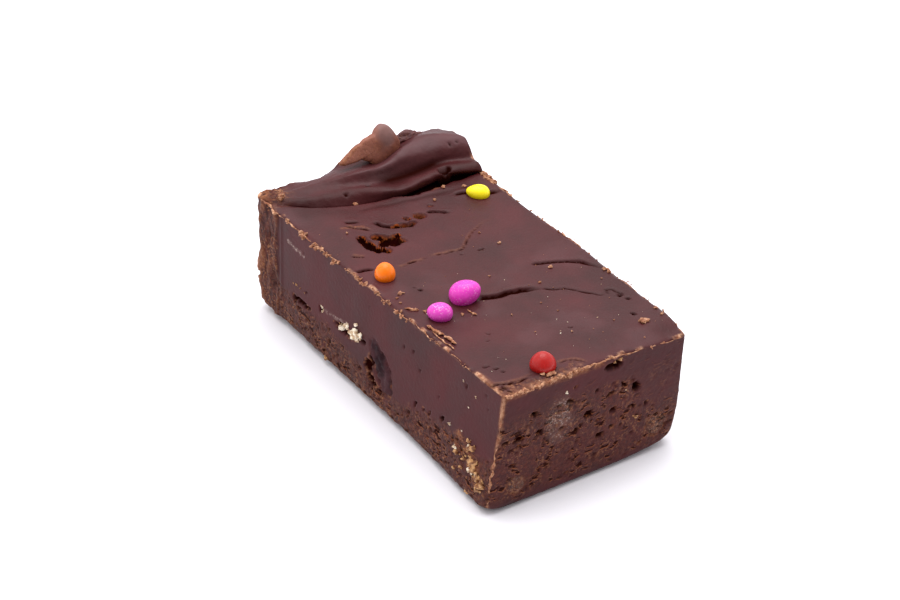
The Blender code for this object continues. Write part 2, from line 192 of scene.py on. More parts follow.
# Holes of the cut end: Y, Z, half width, half height, depth
END_HOLES = (
    (6.1, 23.9, 1.9, 0.75, 1.6), (11.8, 17.1, 0.8, 0.9, 2.4), (-12.4, 19.7, 0.8, 0.55, 1.7),
    (0.4, 14.9, 0.96, 0.72, 0.9), (-2.2, 12, 0.56, 0.4, 1), (-11, 15, 0.72, 0.4, 1),
    (-6.4, 19.4, 0.72, 0.32, 0.7), (-4, 19.2, 0.64, 0.36, 1), (-2.8, 22.3, 0.64, 0.2, 0.5),
    (5.5, 17.4, 0.88, 0.36, 0.9), (9, 18.6, 0.72, 0.32, 0.8), (2.3, 19.3, 0.56, 0.24, 0.6),
    (11, 12.6, 1.1, 0.36, 0.8), (6.4, 13.4, 0.72, 0.56, 0.5), (14.6, 12, 0.64, 0.32, 0.6),
    (-17.4, 9.7, 0.96, 0.32, 0.8), (-15.7, 14.9, 1.1, 0.36, 0.8), (-19, 15.4, 0.8, 0.32, 0.7),
    (3.4, 8.6, 0.8, 0.4, 0.8), (6.2, 9.6, 0.72, 0.32, 0.8),
)
# Frosted patch and round inclusions of the cut end: Y, Z, half width, half height
FROST_PATCH = (-6.6, 16.4, 2.8, 4.6)
INCLUSIONS = ((17.3, 5.9, 2.5, 2.4), (-16.4, 4.6, 2.1, 1.9))
# Hollows of the long side: X, Z, half width, half height, depth
SIDE_HOLES = (
    (-27.6, 9.2, 3.6, 0.5, 1.0), (-30.4, 8.8, 1.0, 0.9, 1.2), (-10.5, 11.6, 3.8, 0.9, 0.7),
    (-45.4, 7.6, 0.75, 0.9, 1.2), (-19.6, 11.9, 0.98, 0.52, 0.6), (-1.2, 8.4, 1.3, 1.5, 0.9),
    (0.2, 5.8, 1.1, 0.9, 0.9), (1.8, 5.2, 1, 0.45, 0.8), (-3, 12.8, 0.75, 0.38, 0.8),
    (17, 9.1, 0.38, 0.68, 0.9), (19.5, 9.6, 0.3, 0.6, 0.8), (21.8, 9.8, 0.3, 0.68, 0.8),
    (26.4, 11.4, 0.52, 0.6, 0.9), (33.2, 22.2, 0.22, 0.3, 0.4),
)
# Dark candied chunk in the long side: its middle line as X and Z, and half width along it
CHUNK_LINE = ((1.0, 13.6), (3.2, 11.2), (4.7, 9.3), (5.9, 7.0))
CHUNK_WIDE = (1.4, 2.5, 2.8, 1.9)
# Pale smears of the long side: points as X and Z, half width, strength of the dust on them
SMEARS = (
    (((-33.4, 21.5), (-30.4, 21.1), (-27.0, 20.8)), 0.34, 1.6),
    (((-18.2, 12.5), (-15.4, 12.6), (-12.4, 13.0), (-9.4, 13.7)), 0.30, 1.6),
)
# Top of the porous foot on the long side: X, level
FOOT_LEVEL = (
    (-38.0, 11.0), (-33.1, 9.4), (-24.6, 9.8), (-16.4, 9.8), (-8.3, 9.2), (-0.4, 8.0), (5.4, 5.6),
    (11.3, 7.2), (17.0, 9.3), (26.4, 11.6), (33.8, 12.1), (39.7, 11.4), (45.1, 12.5),
)

# Candies: centre, half sizes across the view, along it and upward, how much they narrow
# across and upward, and how far they are rolled in the view; then the slot, and the name,
# colour and dusting of the shell
CANDY_HEADING = 56.95
CANDIES = {
    "candy_yellow": (
        (-20.37, 18.10, 27.24), (2.60, 1.95, 1.68), (-0.20, 0.05), -10.0,
        "candy_yellow", ("yellow_sugar_shell", "#ffec12", 0.1),
    ),
    "candy_orange": (
        (-2.93, -16.04, 27.60), (2.12, 2.10, 2.25), (0.0, 0.13), 0.0,
        "candy_orange", ("orange_sugar_shell", "#ff7a08", 0.1),
    ),
    "candy_magenta_large": (
        (12.38, -6.79, 27.71), (3.35, 2.75, 2.60), (0.13, 0.0), 26.0,
        "candy_magenta", ("magenta_frosted_shell", "#e03cb8", 0.8),
    ),
    "candy_magenta_small": (
        (15.15, -14.50, 27.32), (2.60, 2.20, 1.98), (-0.06, 0.04), -8.0,
        "candy_magenta", ("magenta_dusted_shell", "#dc44b8", 0.9),
    ),
    "candy_red": (
        (40.75, -7.67, 27.35), (2.55, 2.45, 2.30), (0.0, 0.22), 0.0,
        "candy_red", ("red_sugar_shell", "#a81410", 0.1),
    ),
}

# How many crumbs a clump of the front edge has, a loose place of the top, a bit in a wall
CLUMP = 9
LOOSE = 5
CLUSTER = 8
# Crumbs: clumps on the front edge as X and size, loose ones on the top as X, Y and size
EDGE_CLUMPS = (
    (-33.7, 0.45), (-27.5, 0.75), (-26.8, 0.55), (-21.6, 0.50), (-20.4, 0.50), (-17.7, 0.40),
    (-14.2, 0.45), (-9.9, 0.35), (-6.6, 0.50), (-4.4, 0.55), (0.9, 0.40), (4.6, 0.40), (9.4, 0.45),
    (13.2, 0.28), (22.2, 0.25), (31.2, 0.20),
)
TOP_CRUMBS = (
    (-41.5, -18.4, 0.75), (-44.0, -17.0, 0.4), (-31.9, -5.4, 0.40), (-21.9, -13.6, 0.35),
    (12.0, -15.9, 0.35), (3.7, -16.5, 0.5), (4.7, -18.0, 0.35), (6.5, -18.2, 0.3), (16.9, -10.4, 0.35),
    (9.9, -17.9, 0.4), (10.6, -17.1, 0.35), (38.7, 17.9, 0.95), (11.8, 14.4, 0.45), (18.9, 22.9, 0.5),
    (20.2, 23.1, 0.45), (38.3, 22.6, 0.35), (35.9, 22.9, 0.35), (21.2, 20.4, 0.16), (35.1, 13.3, 0.16),
    (26.1, 6.1, 0.15), (15.6, 9.2, 0.3), (43.3, -8.1, 1.15), (-24.5, 17.4, 0.4), (-27.0, 13.4, 0.45),
    (-1.6, 11.0, 0.35), (-23.4, 9.0, 0.3), (-7.2, 9.7, 0.25), (22.0, 5.0, 0.18), (30.0, -2.0, 0.18),
    (8.0, 2.0, 0.18), (22.5, -2.4, 0.2), (34.0, 4.0, 0.16),
)
# Shavings on the top: both ends as X and Y, and half width
SHAVINGS = (
    (((16.2, -8.7), (19.0, -8.1)), 0.30),
    (((16.6, -18.5), (21.6, -17.5)), 0.42),
    (((21.4, -17.6), (25.4, -17.2)), 0.40),
    (((19.0, -18.8), (27.0, -18.6)), 0.16),
    (((8.6, -18.8), (10.9, -17.1)), 0.34),
)
# Bits that show in the long side: X, Z, half size
CREAM_BITS = (
    (-19.2, 11.9, 0.85), (-11.9, 11.3, 1.0), (-9.4, 12.9, 0.9), (-8.2, 12.0, 1.0), (-5.5, 13.4, 1.5),
    (-5.9, 12.5, 1.1), (-10.6, 12.2, 0.5), (32.4, 8.2, 0.6), (38.0, 6.3, 0.6), (38.7, 5.8, 0.4),
    (40.4, 6.7, 0.4), (36.7, 10.9, 0.4), (32.1, 22.8, 0.20), (36.4, 21.6, 0.24), (34.5, 18.2, 0.20),
    (29.3, 11.6, 0.32), (33.6, 12.5, 0.22),
)
GOLDEN_BITS = (
    (-31.3, 12.2, 0.22), (-30.0, 12.5, 0.26), (-28.4, 12.4, 0.24), (-26.6, 12.2, 0.2),
    (-8.7, 11.0, 0.7), (-12.4, 12.0, 0.5), (-17.6, 0.9, 0.7), (32.9, 7.6, 0.9), (36.4, 11.8, 0.7),
    (36.9, 10.6, 0.9), (38.1, 11.2, 0.7), (35.4, 8.5, 0.6), (35.4, 7.2, 0.6), (38.2, 8.4, 1.2),
    (39.5, 8.5, 0.9), (39.2, 7.1, 1.4), (40.8, 6.0, 1.2), (42.4, 5.2, 1.0), (35.0, 5.2, 0.6),
    (32.5, 3.5, 0.5), (37.0, 0.6, 0.6), (41.4, 4.2, 0.9),
)
# The same in the cut end: Y, Z, half size
END_CREAM_BITS = ((-5.0, 21.8, 0.34), (9.3, 17.1, 0.18))
END_GOLDEN_BITS = ((7.6, 24.9, 0.4), (6.3, 24.7, 0.35), (12.0, 9.8, 0.48), (-7.4, 18.0, 0.2))
# How thick the burrs are along the edges: place and share of the full radius
FRONT_BURR = (
    (-44, 1.3), (-36, 1.2), (-28, 1.2), (-15, 0.9), (0, 0.9), (12, 0.55), (34, 0.5), (39, 0.6),
    (45, 0.6),
)
NEAR_BURR = ((-20, 1.3), (-8, 1.3), (-1, 1.0), (3, 0.8), (7, 0.8), (10, 0.35), (23, 0.35))
BACK_BURR = ((-27, 1.2), (-20, 0.9), (-10, 0.7), (10, 0.9), (30, 0.7), (45, 0.6))
CORNER_BURR = ((2, 1.0), (8, 1.3), (16, 0.9), (26, 0.8))
# Half width of the floor, in metres
FLOOR_HALF = 4.0
# Light: strength of the tent behind and beside the slice, and toward the camera; then the
# lamps, as name, place in metres, size in metres and power in watts
TENT = (1.2, 0.32)
LAMPS = (
    ("top_lamp", (-0.15, 0.10, 0.9), 0.9, 8.5),
    ("front_lamp", (0.1, -0.9, 0.7), 0.8, 1.0),
)

# What the shape tells the fudge material at each point; some marks carry painted shade and painted
# light, as relief() says
MARKS = ("torn", "rim", "pit", "gloss", "brown", "porous", "fruit", "frost", "bloom", "cut")


def smooth(t):
    """Rise from 0 to 1 with level ends."""
    t = np.clip(t, 0.0, 1.0)
    return t * t * (3.0 - 2.0 * t)


def ramp(value, start, end):
    """Smooth rise from 0 at the start to 1 at the end, which may be the lower of the two."""
    return smooth((value - start) / (end - start))


def bell(value, middle, wide):
    """Bell curve: 1 at the middle, a third of that at this distance to either side."""
    return np.exp(-((value - middle) / wide) ** 2)


def spread(t, keys, rows):
    """Cubic through rows of values, one row for each key and one column for each point."""
    keys = np.asarray(keys, float)
    slope = np.gradient(rows, keys, axis=0)
    i = np.clip(np.searchsorted(keys, t, side="right") - 1, 0, len(keys) - 2)
    col = np.arange(rows.shape[1])
    h = keys[i + 1] - keys[i]
    f = (t - keys[i]) / h
    start = (1 + 2 * f) * (1 - f) ** 2 * rows[i, col] + f * (1 - f) ** 2 * h * slope[i, col]
    end = f * f * (3 - 2 * f) * rows[i + 1, col] + f * f * (f - 1) * h * slope[i + 1, col]
    return start + end


def through(q, knots, values):
    """Cubic curve through the values; each slope is that between the neighbours."""
    knots = np.asarray(knots, float)
    rows = np.repeat(np.asarray(values, float)[:, None], len(q), axis=1)
    return spread(np.clip(q, knots[0], knots[-1]), knots, rows)


def chance(key, seed):
    """Number from 0 to 1 for each whole-numbered cell, by mixing the bits of its indices."""
    h = np.full(len(key), seed * 2654435761, np.int64)
    for k, prime in zip(range(key.shape[1]), (73856093, 19349663, 83492791)):
        h = h ^ (key[:, k] * prime)
    h = (h ^ (h >> 13)) * 1274126177 & 0xFFFFFFFF
    return ((h ^ (h >> 16)) & 0xFFFF) / 65535.0


def noise(p, size, seed):
    """Value noise from -1 to 1: numbers on a tilted cubic lattice of this size, blended."""
    q = np.asarray(p, float) @ TILTED / size + 1000.0
    cell = np.floor(q).astype(np.int64)
    f = smooth(q - cell)
    total = np.zeros(len(q))
    for corner in range(8):
        step = np.array([corner & 1, corner >> 1 & 1, corner >> 2 & 1])
        total += np.prod(np.where(step == 1, f, 1.0 - f), axis=1) * chance(cell + step, seed)
    return total * 2.0 - 1.0


def layered(p, size, seed, octaves=3):
    """Noise of halving sizes and heights, added up."""
    total = 0.0
    for k in range(octaves):
        total = total + noise(p, size / 2 ** k, seed + 11 * k) / 2 ** k
    return total


def pores(u, v, cell, size_u, size_v, filled, seed):
    """One oval pore in some cells of a grid: how deep a place lies in one, and on its rim.

    Each cell's pore has a random place and size, up to size_u by size_v, and filled is the
    share of cells that have one. The depth falls from 1 at its middle to 0 at its edge,
    and the rim is the band just outside the edge.
    """
    iu = np.floor(u / cell).astype(np.int64)
    iv = np.floor(v / cell).astype(np.int64)
    deep = np.zeros(len(u))
    rim = np.zeros(len(u))
    for du in (-1, 0, 1):
        for dv in (-1, 0, 1):
            key = np.stack([iu + du + 500, iv + dv + 500], 1)
            pu = (iu + du + 0.15 + 0.7 * chance(key, seed)) * cell
            pv = (iv + dv + 0.15 + 0.7 * chance(key, seed + 1)) * cell
            scale = 0.45 + 0.75 * chance(key, seed + 2) ** 2
            scale = scale * (chance(key, seed + 3) < filled)
            scale = np.maximum(scale, 1e-3)
            d = np.hypot((u - pu) / (size_u * scale), (v - pv) / (size_v * scale))
            deep = np.maximum(deep, scale * smooth(1.25 - d))
            rim = np.maximum(rim, bell(d, 1.35, 0.3) * np.minimum(scale * 1.5, 1))
    return deep, rim * (deep < 0.25)


def lattice(na, nb, nc):
    """Surface of a box of na by nb by nc cells: its points from 0 to 1, and its faces.

    The underside is one fan round a middle point, because it is flat. The cells lie
    closer together at the far end, where the fold stretches them.
    """
    index = -np.ones((na + 1, nb + 1, nc + 1), int)
    skin = np.zeros(index.shape, bool)
    skin[[0, -1]] = True
    skin[:, [0, -1]] = True
    skin[:, :, [0, -1]] = True
    skin[1:-1, 1:-1, 0] = False
    index[skin] = np.arange(skin.sum())
    quads = []
    for axis in range(3):
        for side in (0, -1):
            if axis == 2 and side == 0:
                continue
            g = np.take(index, side, axis=axis)
            q = np.stack([g[:-1, :-1], g[1:, :-1], g[1:, 1:], g[:-1, 1:]], -1).reshape(-1, 4)
            flip = (side == 0) != (axis == 1)
            quads.append(q[:, ::-1] if flip else q)
    base = index[:, :, 0]
    ring = np.concatenate([base[:-1, 0], base[-1, :-1], base[:0:-1, -1], base[0, :0:-1]])
    centre = int(skin.sum())
    fan = np.stack([np.roll(ring, -1), ring, np.full(len(ring), centre)], 1)
    cells = np.concatenate([np.argwhere(skin) / [na, nb, nc], [[0.5, 0.5, 0.0]]])
    far = np.clip((FAR_CELLS - cells[:, 0]) / FAR_CELLS, 0, 1)
    near = np.clip((cells[:, 0] - FAR_CELLS) / (1 - FAR_CELLS), 0, 1)
    cells[:, 0] = FAR_SHARE * (1 - far) + (1 - FAR_SHARE) * near
    return cells, np.concatenate(quads), fan


def top_height(x, y):
    """Height of the top: a level, ramps up toward the back and down at the near end, noise."""
    z = TOP_LEVEL + 0.7 * smooth(-x / 45.0) * smooth(y / 22.0)
    z = z + 0.8 * ramp(y, 17.0, 23.5) * (1 - ramp(x, 8.0, 22.0))
    z = z - 1.6 * ramp(x, 39.5, 45.0) * ramp(y, -2.0, 24.0)
    p = np.stack([x, y, 0 * x], 1)
    return z + 0.22 * noise(p, 11.0, 3) + 0.08 * noise(p, 4.0, 5)


def along(x, y, points):
    """Distance to a bent line, the place along it from 0 to 1, and the side."""
    points = np.asarray(points, float)
    best = np.full(len(x), 1e9)
    where = np.zeros(len(x))
    side = np.zeros(len(x))
    count = len(points) - 1
    for k in range(count):
        a = points[k]
        d = points[k + 1] - a
        t = np.clip(((x - a[0]) * d[0] + (y - a[1]) * d[1]) / (d @ d), 0, 1)
        ex = x - a[0] - t * d[0]
        ey = y - a[1] - t * d[1]
        r = np.hypot(ex, ey)
        near = r < best
        best = np.where(near, r, best)
        where = np.where(near, (k + t) / count, where)
        side = np.where(near, np.sign(d[0] * ey - d[1] * ex), side)
    return best, where, side


def holes(p, q, rows):
    """Deepest of the hollows at a place: each is its depth, ramped over an oval's edge."""
    total = 0.0
    for cp, cq, hp, hq, deep in rows:
        d = ((p - cp) / hp) ** 2 + ((q - cq) / hq) ** 2
        total = np.maximum(total, deep * ramp(d, 1.35, 0.45))
    return total


def block(c):
    """The slice: a worn box with rounded foot edges, its top lofted into the fold.

    Shares from -1 to 1 along and across give X and Y. Up to FOOT_SHARE a point climbs a
    quarter circle under the foot edge, and above it goes straight up to the top's height.
    Corners are pulled onto a circle, and beyond the crease the top is a cubic surface
    through FOLD_LINES. Both long sides then lean by an amount that grows with the height.
    Returns the points, and how far along the fold's section each one is.
    """
    a = 2 * c[:, 0] - 1
    b = 2 * c[:, 1] - 1
    w = c[:, 2]
    wa = np.abs(a) ** 4 + 1e-9
    wb = np.abs(b) ** 4 + 1e-9
    ra = np.where(a > 0, FOOT_EDGE["near"], FOOT_EDGE["far"])
    rb = np.where(b > 0, FOOT_EDGE["back"], FOOT_EDGE["front"])
    r = (wa * ra + wb * rb) / (wa + wb)
    turn = np.clip(w / FOOT_SHARE, 0, 1) * np.pi / 2
    inset = r * (1 - np.sin(turn))
    rise = r * (1 - np.cos(turn)) - FOOT_DROP
    half_x = HALF_LENGTH - inset + 1.2 * smooth((-a - 0.5) / 0.5)
    half_y = HALF_WIDTH - inset
    x = a * half_x
    y = b * half_y

    # vertical corners, rounder toward the foot
    rho = np.where(a > 0, CUT_EDGE_RADIUS, FAR_EDGE_RADIUS)
    rho = rho + 5.0 * (1 - np.clip(w / 0.5, 0, 1)) ** 1.6
    dx = np.maximum(np.abs(x) - (half_x - rho), 0)
    dy = np.maximum(np.abs(y) - (half_y - rho), 0)
    k = np.maximum(dx, dy) / np.maximum(np.hypot(dx, dy), 1e-9)
    k = np.where((dx > 0) & (dy > 0), k, 1.0)
    x = np.sign(x) * (np.minimum(np.abs(x), half_x - rho) + dx * k)
    y = np.sign(y) * (np.minimum(np.abs(y), half_y - rho) + dy * k)

    # height, straight between the foot edge and the top
    top = top_height(x, y)
    up = np.clip((w - FOOT_SHARE) / (1 - FOOT_SHARE), 0, 1)
    z = rise + (top - r + FOOT_DROP) * up

    # fold: the top beyond the crease runs along the section
    crease = through(y, FOLD_STATIONS, FOLD_LINES[0][2])
    s = np.clip((crease + FOLD_START - x) / (crease + FOLD_START + HALF_LENGTH), 0, 1)
    t = np.clip((s - 0.04) / 0.96, 0, 1)
    keys = [line[0] for line in FOLD_LINES]
    fold_x = spread(t, keys, np.stack([through(y, FOLD_STATIONS, line[2]) for line in FOLD_LINES]))
    fold_z = spread(t, keys, np.stack([through(y, FOLD_STATIONS, line[3]) for line in FOLD_LINES]))
    on = smooth(s / 0.04) * smooth((y + HALF_WIDTH) / 6.0 + 0.35)
    lift = np.where(w > LAST, 1.0, ramp(w, 0.7, 1.0))
    x = x + (fold_x - x) * on * lift
    z = z + (fold_z - top) * on * lift

    # long side leans in upward and flares at the near foot; back side leans out
    near = ramp(a, -1.0, 1.0)
    front = ramp(b, 1.0, -1.0) ** 2
    lean = (0.9 + 1.7 * near) * z / 26.0
    flare = 1.1 * ramp(a, 0.25, 1.0) * ramp(z, 19.0, 6.0)
    y = y + front * (lean - flare)
    y = y + smooth((1 + b) / 2) ** 2 * 1.5 * z / 26.0 * (0.7 + 0.3 * near)
    return np.stack([x, y, z], 1), t * on


def relief(p, c, fold):
    """Fine shape of every face, and what the material reads at each point.

    Each face moves its points along its own axis by noise, grooves, pores and hollows,
    added up; each mark is the highest of the values that the features give a point.
    torn is 1 where the fudge broke instead of being cut, rim on the pale ragged edges,
    pit is painted shade in the depth of a pore, a groove or a hole and in the
    shaded places of the fold, gloss is the inside of a crater, painted darker with
    depth and without sheen, brown where the torn body shows light brown and painted light
    on the far walls of craters, porous where slits too fine for the mesh are drawn, fruit
    on the candied chunk, frost under pale dust, bloom where the skin
    has gone pale and painted light on the wall of the fold, and cut off the top.
    """
    marks = {name: np.zeros(len(p)) for name in MARKS}
    p = top_relief(p, c, fold, marks)
    p = side_relief(p, c, marks)
    p = end_relief(p, c, marks)

    # ragged line down the near corner and along the top of both cut faces
    is_top = c[:, 2] > LAST
    is_front = c[:, 1] < FIRST
    is_end = c[:, 0] > LAST
    frayed = smooth(0.6 + layered(p, 2.0, 34, 3))
    from_front = np.where(is_end, c[:, 1] * WIDTH, FAR_OFF)
    from_end = np.where(is_front, (1 - c[:, 0]) * LENGTH, FAR_OFF)
    corner = np.minimum(from_front, from_end)
    raise_to(marks, "brown", 0.75 * ramp(corner, 0.9, 0.4) * frayed)
    raise_to(marks, "rim", 0.5 * ramp(corner, 0.6, 0.2) * frayed)
    below = np.where(is_top, FAR_OFF, (1 - c[:, 2]) * WALL_HEIGHT)
    thin = ramp(below, 0.35, 0.05) * (p[:, 0] > -30) * smooth(frayed - 0.2)
    raise_to(marks, "rim", 0.7 * thin)
    browned = ramp(below, 1.2, 0.5) * ramp(p[:, 1], 8.0, 1.0) * frayed
    raise_to(marks, "brown", 0.8 * is_end * browned)
    raise_to(marks, "cut", 1.0 - is_top)
    return p, marks


def raise_to(marks, name, value):
    """Mark set to this value wherever it is higher than before."""
    marks[name] = np.maximum(marks[name], value)


def top_relief(p, c, fold, marks):
    """Top: soft unevenness, grooves with a lip, craters, the gap under the fold, worn edges.

    All depths are added up in down and taken from Z; a groove is a bell across its line
    with a wider bell beside it for the lip, faded to nothing at both ends.
    """
    x, y, z = p.T.copy()
    on = 1.0 * (c[:, 2] > LAST)
    flat = p * [1, 1, 0]
    down = 0.16 * layered(flat * [0.6, 1, 1], 7.0, 20, 3)
    raise_to(marks, "bloom", 0.15 * on * smooth(0.1 + layered(flat, 9.0, 29, 4)))
    uneven_x = x + 0.25 * noise(flat, 1.6, 24)
    uneven_y = y + 0.25 * noise(flat, 1.6, 25)
    for depth, width, lip, points in CREASES:
        d, s, side = along(uneven_x, uneven_y, points)
        fade = smooth(s / 0.12) * ramp(s, 1.0, 0.65)
        groove = bell(d, 0.0, width)
        ridge = bell(d, 2.0 * width, 1.6 * width) * np.where(side > 0, 1, 0.2)
        down = down + fade * (depth * groove - lip * ridge)
        # painted shade in the depth of the groove
        raise_to(marks, "pit", on * fade * np.minimum(groove ** 2 * depth / 0.35, 1.0))
        raise_to(marks, "brown", 0.35 * on * fade * ridge * (width < 0.3))

    # craters: ragged outline, knobby floor, and light brown painted on the walls of their far side
    # as light falling there; those walls are found from the depths a little to either side
    bent_x = x + 0.45 * noise(flat, 1.6, 21) + 0.25 * noise(flat, 0.8, 26)
    bent_y = y + 0.45 * noise(flat, 1.6, 22) + 0.25 * noise(flat, 0.8, 27)
    crater = holes(bent_x, bent_y, CRATERS) * on
    nearer = holes(bent_x + 0.40, bent_y - 0.26, CRATERS)
    farther = holes(bent_x - 0.40, bent_y + 0.26, CRATERS)
    knobby = noise(flat, 1.2, 23) + 0.5 * noise(flat, 0.7, 28)
    small = holes(x, y, PITS) * on
    down = down + crater * (1.7 + 0.8 * knobby) + small
    # the crater's inside: painted shade, its colour darker with depth and its sheen taken away
    raise_to(marks, "gloss", smooth(crater / (0.15 + 0.9 * smooth(0.5 + noise(flat, 2.2, 62)))))
    raise_to(marks, "pit", 0.6 * smooth((crater + 0.4 * knobby - 0.9) / 0.5))
    # painted shade in the small pits
    raise_to(marks, "pit", 0.9 * ramp(small, 0.12, 0.52))
    shore = smooth(small / 0.05) * ramp(small, 0.6, 0.2)
    in_fold = (fold > 0.3) & (y < 18.0) & (y > 14.6)
    raise_to(marks, "brown", 0.7 * shore * in_fold)
    # painted light on the far walls of the craters
    painted_lit_wall = smooth((nearer - farther - 0.25) / 0.6)
    painted_lit_wall = painted_lit_wall * smooth(crater / 0.10) * ramp(crater, 0.8, 0.4)
    raise_to(marks, "brown", 0.5 * on * painted_lit_wall * smooth(0.3 + knobby))
    raise_to(marks, "brown", 0.35 * smooth(crater / 0.2) * ramp(knobby, 0.6, 0.9))
    for course, wide, mark, much in (
        (((-27.6, 10.6), (-27.4, 12.4)), 0.30, "brown", 0.6),
        (((-24.3, -13.4), (-23.4, -11.2), (-22.8, -9.2)), 0.30, "brown", 0.6),
        # a broad band of painted shade in front of the foot of the fold
        (((-34.0, -16.0), (-30.0, -8.0), (-28.0, 2.0)), 2.20, "pit", 0.14),
    ):
        line = bell(along(x, y, course)[0], 0.0, wide)
        raise_to(marks, mark, much * on * (fold < 0.01) * line)

    # gap under the lip of the fold, painted shade in the gap, under the lip, under the tongue's end,
    # in the valley behind the lip and on the tongue's lower slope, the lip, painted light on the
    # wall and ridge of the fold, and the fold's own unevenness
    bank_y, bank_x = np.array(BANK).T
    bank = np.interp(y, bank_y, bank_x) + 0.25 * noise(flat, 1.2, 37)
    gap = on * smooth((bank - x) / 0.8) * ramp(fold, 0.06, 0.01)
    gap = gap * ramp(y, -1.0, 3.0) * ramp(x, -36.0, -34.0)
    # painted shade along the underside of the lip and, below it, in the gap
    under_lip = on * smooth(y / 4.0) * smooth(fold / 0.02) * ramp(fold, 0.13, 0.07)
    raise_to(marks, "pit", np.maximum(gap, 0.9 * under_lip))
    # painted shade under the tongue's end
    under_end = on * ramp(y, -20.0, -16.0) * ramp(y, 2.0, -1.0)
    under_end = under_end * smooth(fold / 0.004) * ramp(fold, 0.045, 0.015)
    raise_to(marks, "pit", 0.55 * under_end)
    lip = on * smooth(y / 5.0) * bell(fold, 0.17, 0.016)
    raise_to(marks, "brown", 0.30 * lip * smooth(0.6 + noise(p, 1.5, 39)))
    # painted shade in the valley behind the lip, and a light one on the tongue's lower slope
    valley = on * bell(fold, 0.37, 0.06)
    raise_to(marks, "pit", 0.7 * valley * ramp(y, 1.0, 5.0) * ramp(y, 19.0, 15.0))
    raise_to(marks, "pit", 0.16 * on * smooth(fold / 0.05) * ramp(fold, 0.36, 0.26))
    # painted light: the shaded wall below the ridge, and the ridge, get the pale colour of the skin
    pale = 0.4 * ramp(fold, 0.49, 0.57) * (1 - 0.9 * ramp(fold, 0.66, 0.78))
    raise_to(marks, "bloom", on * pale * ramp(y, -6.0, 4.0))
    down = down + GAP_DEPTH * gap + 0.13 * layered(p, 2.4, 38, 3) * smooth(fold / 0.2)

    # worn cut edges, the flaky strip along the near end, the crumbly far corner
    edge = np.minimum(np.minimum(c[:, 1], 1 - c[:, 1]) * WIDTH, (1 - c[:, 0]) * LENGTH)
    worn = 0.35 * bell(edge, 0.0, 0.45)
    ragged = np.clip(0.15 + 1.1 * layered(p, 2.6, 31, 3), 0, 1.3)
    frill = 0.5 * bell(edge, 0.3, 0.5) * ragged
    flaky = layered(flat, 1.1, 33, 3)
    strip = smooth((x - 42.4 - 0.9 * noise(flat, 2.0, 32)) / 0.5) * ramp(y, 1.5, -4.5)
    raise_to(marks, "rim", on * ramp(edge, 0.55, 0.2) * ramp(ragged, 0.35, 0.85))
    raise_to(marks, "brown", 0.45 * on * strip * ramp(flaky, -0.3, 0.6))
    raise_to(marks, "rim", 0.25 * on * strip * ramp(flaky, 0.4, 0.9))
    # painted shade in the cracks of the flaky strip
    raise_to(marks, "pit", 0.8 * on * strip * smooth((-flaky - 0.6) / 0.3))
    raise_to(marks, "torn", 0.6 * on * strip)
    corner = ramp(x, -38.0, -42.0) * ramp(y, -14.0, -19.0)
    crumbly = layered(p, 1.5, 35, 3)
    raise_to(marks, "brown", on * corner * smooth(0.5 + crumbly))
    raise_to(marks, "torn", on * corner)
    near_corner = ramp(x, 34.0, 38.0) * ramp(y, -10.0, -16.0)
    raise_to(marks, "brown", 0.6 * on * ramp(edge, 1.4, 0.5) * near_corner)
    z = np.where(on > 0, z - down - worn + frill - strip * (0.25 + 0.16 * flaky), z)
    z = z + on * corner * (0.4 + 0.35 * crumbly)
    return np.stack([x, y, z], 1)


